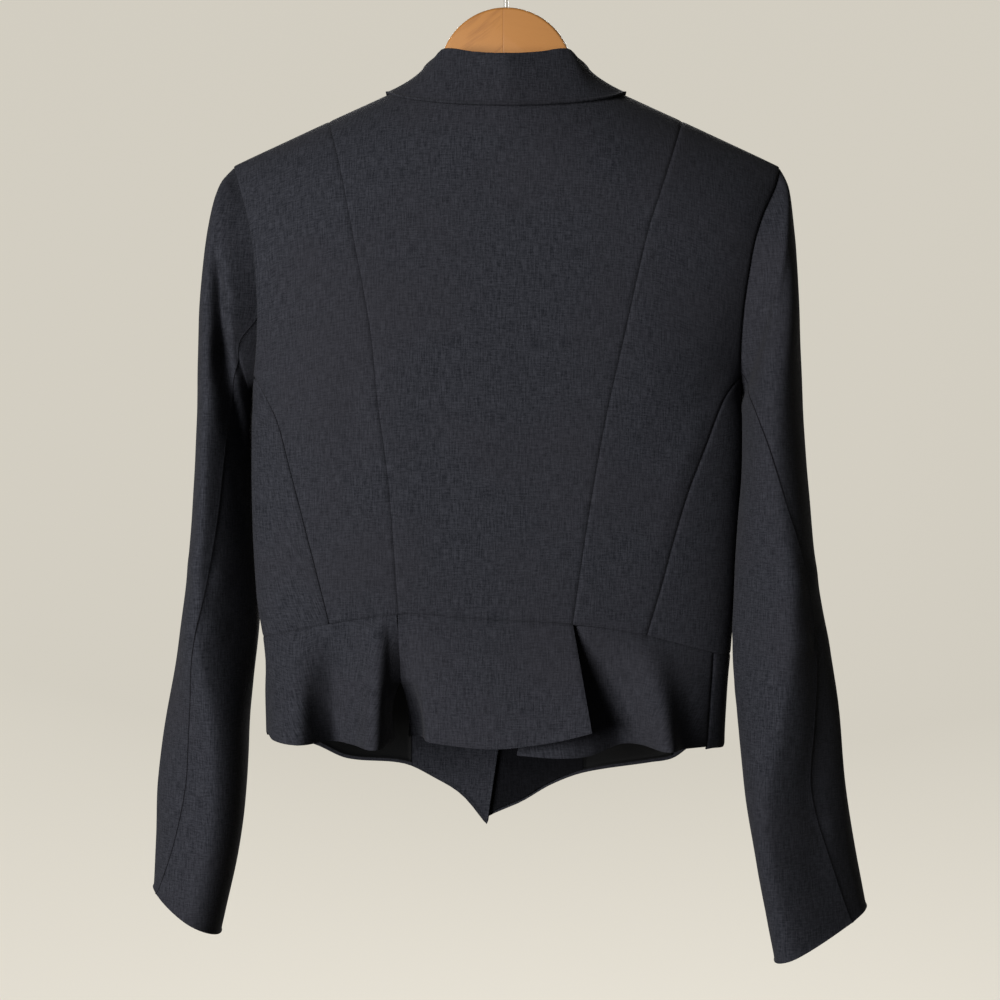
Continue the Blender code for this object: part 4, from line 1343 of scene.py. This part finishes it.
def button_frame():
    """The button's middle and its directions, the last one out of the front."""
    angle = angle_at(BUTTON_X, BUTTON_Z, back=False)
    out = body_normal(angle, np.float64(BUTTON_Z))
    seat = body_point(angle, np.float64(BUTTON_Z))
    middle = seat + out * (over_lift(np.float64(BUTTON_X)) + LAYER_GAP + BUTTON_THICK / 2)
    across = unit(np.cross((0, 0, 1.0), out))
    return middle, np.array([across, np.cross(out, across), out])


def place_on_button(mesh):
    middle, directions = button_frame()
    for corner in mesh.verts:
        corner.co = (np.array(corner.co) @ directions + middle) * MM


def spun(profile, segments):
    """A turned solid from a profile of radii and heights."""
    mesh = bmesh.new()
    corners = [mesh.verts.new((radius, 0, height)) for radius, height in profile]
    edges = [mesh.edges.new(pair) for pair in zip(corners, corners[1:])]
    whole_turn = {"cent": (0, 0, 0), "axis": (0, 0, 1), "angle": 2 * math.pi}
    bmesh.ops.spin(mesh, geom=corners + edges, steps=segments, use_merge=True, **whole_turn)
    bmesh.ops.remove_doubles(mesh, verts=mesh.verts[:], dist=1e-4)
    bmesh.ops.recalc_face_normals(mesh, faces=mesh.faces[:])
    smooth_faces(mesh)
    return mesh


def rod(mesh, radius, length, segments):
    """Adds a round rod along Z and gives its corners."""
    ends = {"radius1": radius, "radius2": radius, "depth": length}
    return bmesh.ops.create_cone(mesh, cap_ends=True, segments=segments, **ends)["verts"]


def button():
    mesh = spun(BUTTON_PROFILE + BUTTON_BACK, 48)
    place_on_button(mesh)
    piece = add_piece("button", mesh, horn)
    drills = bmesh.new()
    for turn in range(4):
        at = math.radians(45 + 90 * turn)
        aside = (BUTTON_HOLE_OUT * math.cos(at), BUTTON_HOLE_OUT * math.sin(at), 0)
        bmesh.ops.translate(drills, verts=rod(drills, BUTTON_HOLE, 2 * BUTTON_THICK, 16), vec=aside)
    place_on_button(drills)
    bmesh.ops.recalc_face_normals(drills, faces=drills.faces[:])
    cutter = linked_object("drills", drills)
    cut = piece.modifiers.new("holes", "BOOLEAN")
    cut.object = cutter
    evaluated = piece.evaluated_get(bpy.context.evaluated_depsgraph_get())
    piece.data = bpy.data.meshes.new_from_object(evaluated)
    piece.modifiers.clear()
    piece.data.set_sharp_from_angle(angle=math.radians(40))
    bpy.data.objects.remove(cutter)
    return piece


def button_thread():
    """Two bars of thread across the dish, each a bundle of three strands."""
    mesh = bmesh.new()
    for side in (-1, 1):
        for strand in (-1, 0, 1):
            bar = rod(mesh, STRAND_RADIUS, 2 * BUTTON_HOLE_OUT * STRAND_SHARE, 8)
            bmesh.ops.rotate(mesh, verts=bar, cent=(0, 0, 0), matrix=QUARTER_TURN)
            offset = BUTTON_HOLE_OUT * math.cos(math.radians(45)) * side + STRAND_PITCH * strand
            height = STRAND_HEIGHT + STRAND_CROWN * (strand == 0)
            bmesh.ops.translate(mesh, verts=bar, vec=(0, offset, height))
    smooth_faces(mesh)
    place_on_button(mesh)
    piece = linked_object("button_thread", mesh, thread)
    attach(piece, "root")


def make_thread():
    finish, wire, shader = start_finish("sewing_thread")
    place = wire.node("ShaderNodeTexCoord", output=3)
    twist = stretched_noise(wire, place, (0.0003, 0.0003, 0.0003), 2.0)
    thread_colour = twist.mixed(colour(0.008, 0.008, 0.010), colour(0.030, 0.030, 0.036))
    set_shader(wire, shader, {"Base Color": thread_colour, "Roughness": 0.6 + twist * 0.2})
    return finish


thread = make_thread()
button()
button_thread()

# %% [markdown]
# ## The hanger
#
# Inside the shoulders lies a flat wooden hanger. Its dome rises behind the collar, and a wire hook stands
# on it. The board is a flat outline, filled, pulled to its thickness and rounded along its edges. The wire
# is a curve with a round bevel, which ends in a small ball.

# %% Hanger board
HANGER_HALF_LENGTH = 178.0
HANGER_HALF_THICK = 6.5
HANGER_EDGE = 2.4
HANGER_DROP = 4.7
HANGER_DOME_RADIUS, HANGER_DOME_Z = 50.0, -110.0
HANGER_DOME_TURN, HANGER_DOME_STEPS = 72.0, 40
HANGER_THROAT_X, HANGER_THROAT_DROP = 52.0, 7.7
HANGER_NECK_HALF = 58.0
HANGER_ARM_STEPS = 12
HANGER_MIDDLE_DEEP, HANGER_END_DEEP = 34.0, 17.0


def hanger_outline():
    """The outline in X and Z: its dome, and two arms that follow the shoulders."""
    top = []
    for i in range(HANGER_DOME_STEPS + 1):
        turn = math.radians(90 - HANGER_DOME_TURN * i / HANGER_DOME_STEPS)
        top.append((HANGER_DOME_RADIUS * math.cos(turn), HANGER_DOME_Z + HANGER_DOME_RADIUS * math.sin(turn)))
    top.append((HANGER_THROAT_X, shoulder_z(HANGER_THROAT_X) - HANGER_THROAT_DROP))
    reach = HANGER_HALF_LENGTH - HANGER_NECK_HALF
    arm = [HANGER_NECK_HALF + reach * i / HANGER_ARM_STEPS for i in range(HANGER_ARM_STEPS + 1)]
    top += [(x, shoulder_z(x) - HANGER_DROP) for x in arm]
    low = []
    for x in reversed([0] + arm):
        deep = HANGER_MIDDLE_DEEP + (HANGER_END_DEEP - HANGER_MIDDLE_DEEP) * x / HANGER_HALF_LENGTH
        low.append((x, min(shoulder_z(x), shoulder_z(HANGER_NECK_HALF)) - HANGER_DROP - deep))
    half = top + low
    return half + [(-x, z) for x, z in reversed(half[1:-1])]


def hanger_board():
    mesh = bmesh.new()
    corners = [mesh.verts.new((x * MM, -HANGER_HALF_THICK * MM, z * MM)) for x, z in hanger_outline()]
    for pair in zip(corners, corners[1:] + corners[:1]):
        mesh.edges.new(pair)
    filled = bmesh.ops.contextual_create(mesh, geom=mesh.edges[:])["faces"]
    grown = bmesh.ops.extrude_face_region(mesh, geom=filled, use_keep_orig=True)["geom"]
    moved = [part for part in grown if isinstance(part, bmesh.types.BMVert)]
    bmesh.ops.translate(mesh, verts=moved, vec=(0, 2 * HANGER_HALF_THICK * MM, 0))
    bmesh.ops.recalc_face_normals(mesh, faces=mesh.faces[:])
    rims = [edge for edge in mesh.edges if abs(edge.verts[0].co.y - edge.verts[1].co.y) < 1e-6]
    rounded = {"segments": 4, "profile": 0.5, "affect": "EDGES", "material": -1, "clamp_overlap": True}
    bmesh.ops.bevel(mesh, geom=rims, offset=HANGER_EDGE * MM, **rounded)
    smooth_faces(mesh)
    piece = add_piece("hanger_body", mesh, wood)
    piece.data.set_sharp_from_angle(angle=math.radians(40))


hanger_board()

# %% Hanger hook
HOOK_WIRE_RADIUS = 1.75
HOOK_INNER_RADIUS = 17.0
HOOK_START, HOOK_SWEEP, HOOK_STEPS = -48.0, 238.0, 48
HOOK_STEM = ((0, 0.3), (0, 8), (0.6, 14), (3.6, 20.5))
HOOK_BALL = 2.3


def hanger_hook():
    radius = HOOK_INNER_RADIUS + HOOK_WIRE_RADIUS
    dome_top = HANGER_DOME_Z + HANGER_DOME_RADIUS
    keys = np.array([above for _, above in HOOK_STEM], float)
    sides = np.array([x for x, _ in HOOK_STEM], float)
    rises = np.linspace(keys[0], keys[-1], 16)
    path = [(x, dome_top + above) for x, above in zip(smooth_between(keys, sides, rises), rises)]
    for turn in np.radians(HOOK_START + HOOK_SWEEP * np.arange(HOOK_STEPS + 1) / HOOK_STEPS):
        path.append((radius * math.cos(turn), radius * math.sin(turn) - HOOK_INNER_RADIUS))
    line = bpy.data.curves.new("hook_line", "CURVE")
    line.dimensions = "3D"
    spline = line.splines.new("POLY")
    spline.points.add(len(path) - 1)
    for point, (x, z) in zip(spline.points, path):
        point.co = (x * MM, 0, z * MM, 1)
    line.bevel_depth, line.bevel_resolution, line.use_fill_caps = HOOK_WIRE_RADIUS * MM, 4, True
    holder = bpy.data.objects.new("hook_line", line)
    bpy.context.scene.collection.objects.link(holder)
    evaluated = holder.evaluated_get(bpy.context.evaluated_depsgraph_get())
    mesh = bmesh.new()
    mesh.from_mesh(bpy.data.meshes.new_from_object(evaluated))
    bpy.data.objects.remove(holder)
    bmesh.ops.remove_doubles(mesh, verts=mesh.verts[:], dist=1e-6)
    ball = bmesh.ops.create_uvsphere(mesh, u_segments=20, v_segments=12, radius=HOOK_BALL * MM)["verts"]
    bmesh.ops.translate(mesh, verts=ball, vec=(path[-1][0] * MM, 0, path[-1][1] * MM))
    smooth_faces(mesh)
    piece = add_piece("hanger_hook", mesh, steel)
    piece.data.set_sharp_from_angle(angle=math.radians(50))


hanger_hook()
print("hanger and hook made")

# %% [markdown]
# ## Floor and light
#
# The blazer hangs in a plain studio. The floor is a wide pale sweep that curves up all round, turned from
# one profile, so that no edge shows behind the cloth from any side. A broad soft light stands low to the
# left of the camera, as a window would, and a weaker one lights the front of the blazer for the views from
# behind.

# %% Floor
FLOOR_Z = -1450.0
FLOOR_FLAT, FLOOR_CURVE, FLOOR_WALL = 2200.0, 1200.0, 2600.0


def make_floor():
    finish, wire, shader = start_finish("pale_floor")
    place = wire.node("ShaderNodeTexCoord", output=3)
    cloud = stretched_noise(wire, place, (0.5, 0.5, 0.5), 2.0)
    pale = cloud.mixed(colour(0.28, 0.27, 0.25), colour(0.29, 0.28, 0.26))
    set_shader(
        wire,
        shader,
        {"Base Color": pale, "Roughness": 0.85 + cloud * 0.1},
        Emission_Color=colour(0.578, 0.547, 0.475),
        Emission_Strength=1.0,
        Specular_IOR_Level=0.0,
    )
    profile = [(0.0, 0.0)]
    for turn in np.radians(np.linspace(-90, 0, 16)):
        profile.append((FLOOR_FLAT + FLOOR_CURVE * math.cos(turn), FLOOR_CURVE * (1 + math.sin(turn))))
    profile.append((FLOOR_FLAT + FLOOR_CURVE, FLOOR_CURVE + FLOOR_WALL))
    mesh = spun(profile, 96)
    for corner in mesh.verts:
        corner.co = (corner.co.x * MM, corner.co.y * MM, (corner.co.z + FLOOR_Z) * MM)
    floor = linked_object("floor", mesh, finish)
    floor.visible_diffuse = False


make_floor()

# %% Light
LIGHT_AIM = (0.0, 0.0, -0.42)
LIGHTS = (
    ("window", (-1.50, -2.10, -0.30), 1.1, 90.0, (1.0, 0.985, 0.96)),
    ("front_fill", (0.1, 2.3, 0.7), 1.4, 70.0, (1.0, 0.99, 0.97)),
)


def add_light(name, place, size, power, tint):
    light = bpy.data.lights.new(name, "AREA")
    light.shape, light.size, light.energy, light.color = "SQUARE", size, power, tint
    holder = bpy.data.objects.new(name, light)
    bpy.context.scene.collection.objects.link(holder)
    holder.location = place
    aim = [goal - start for goal, start in zip(LIGHT_AIM, place)]
    tilt, heading = math.atan2(aim[2], math.hypot(aim[0], aim[1])), math.atan2(aim[1], aim[0])
    holder.rotation_euler = (math.radians(90) + tilt, 0, heading - math.radians(90))
    holder.visible_camera = False


for row in LIGHTS:
    add_light(*row)
world = bpy.data.worlds.new("studio")
world.use_nodes = True
world.node_tree.nodes["Background"].inputs["Color"].default_value = (0.95, 0.97, 1.0, 1)
world.node_tree.nodes["Background"].inputs["Strength"].default_value = 0.012
bpy.context.scene.world = world
bpy.context.scene.view_settings.view_transform = "Standard"
print("lights:", [row[0] for row in LIGHTS])

# %% [markdown]
# ## Sizes of the cut
#
# The cut size and the area of every panel are printed.

# %% Finish
for name, flat, area in sewn:
    print(f"{name}: cut from {flat[0]:.3f} x {flat[1]:.3f} m, {area:.4f} square metres")
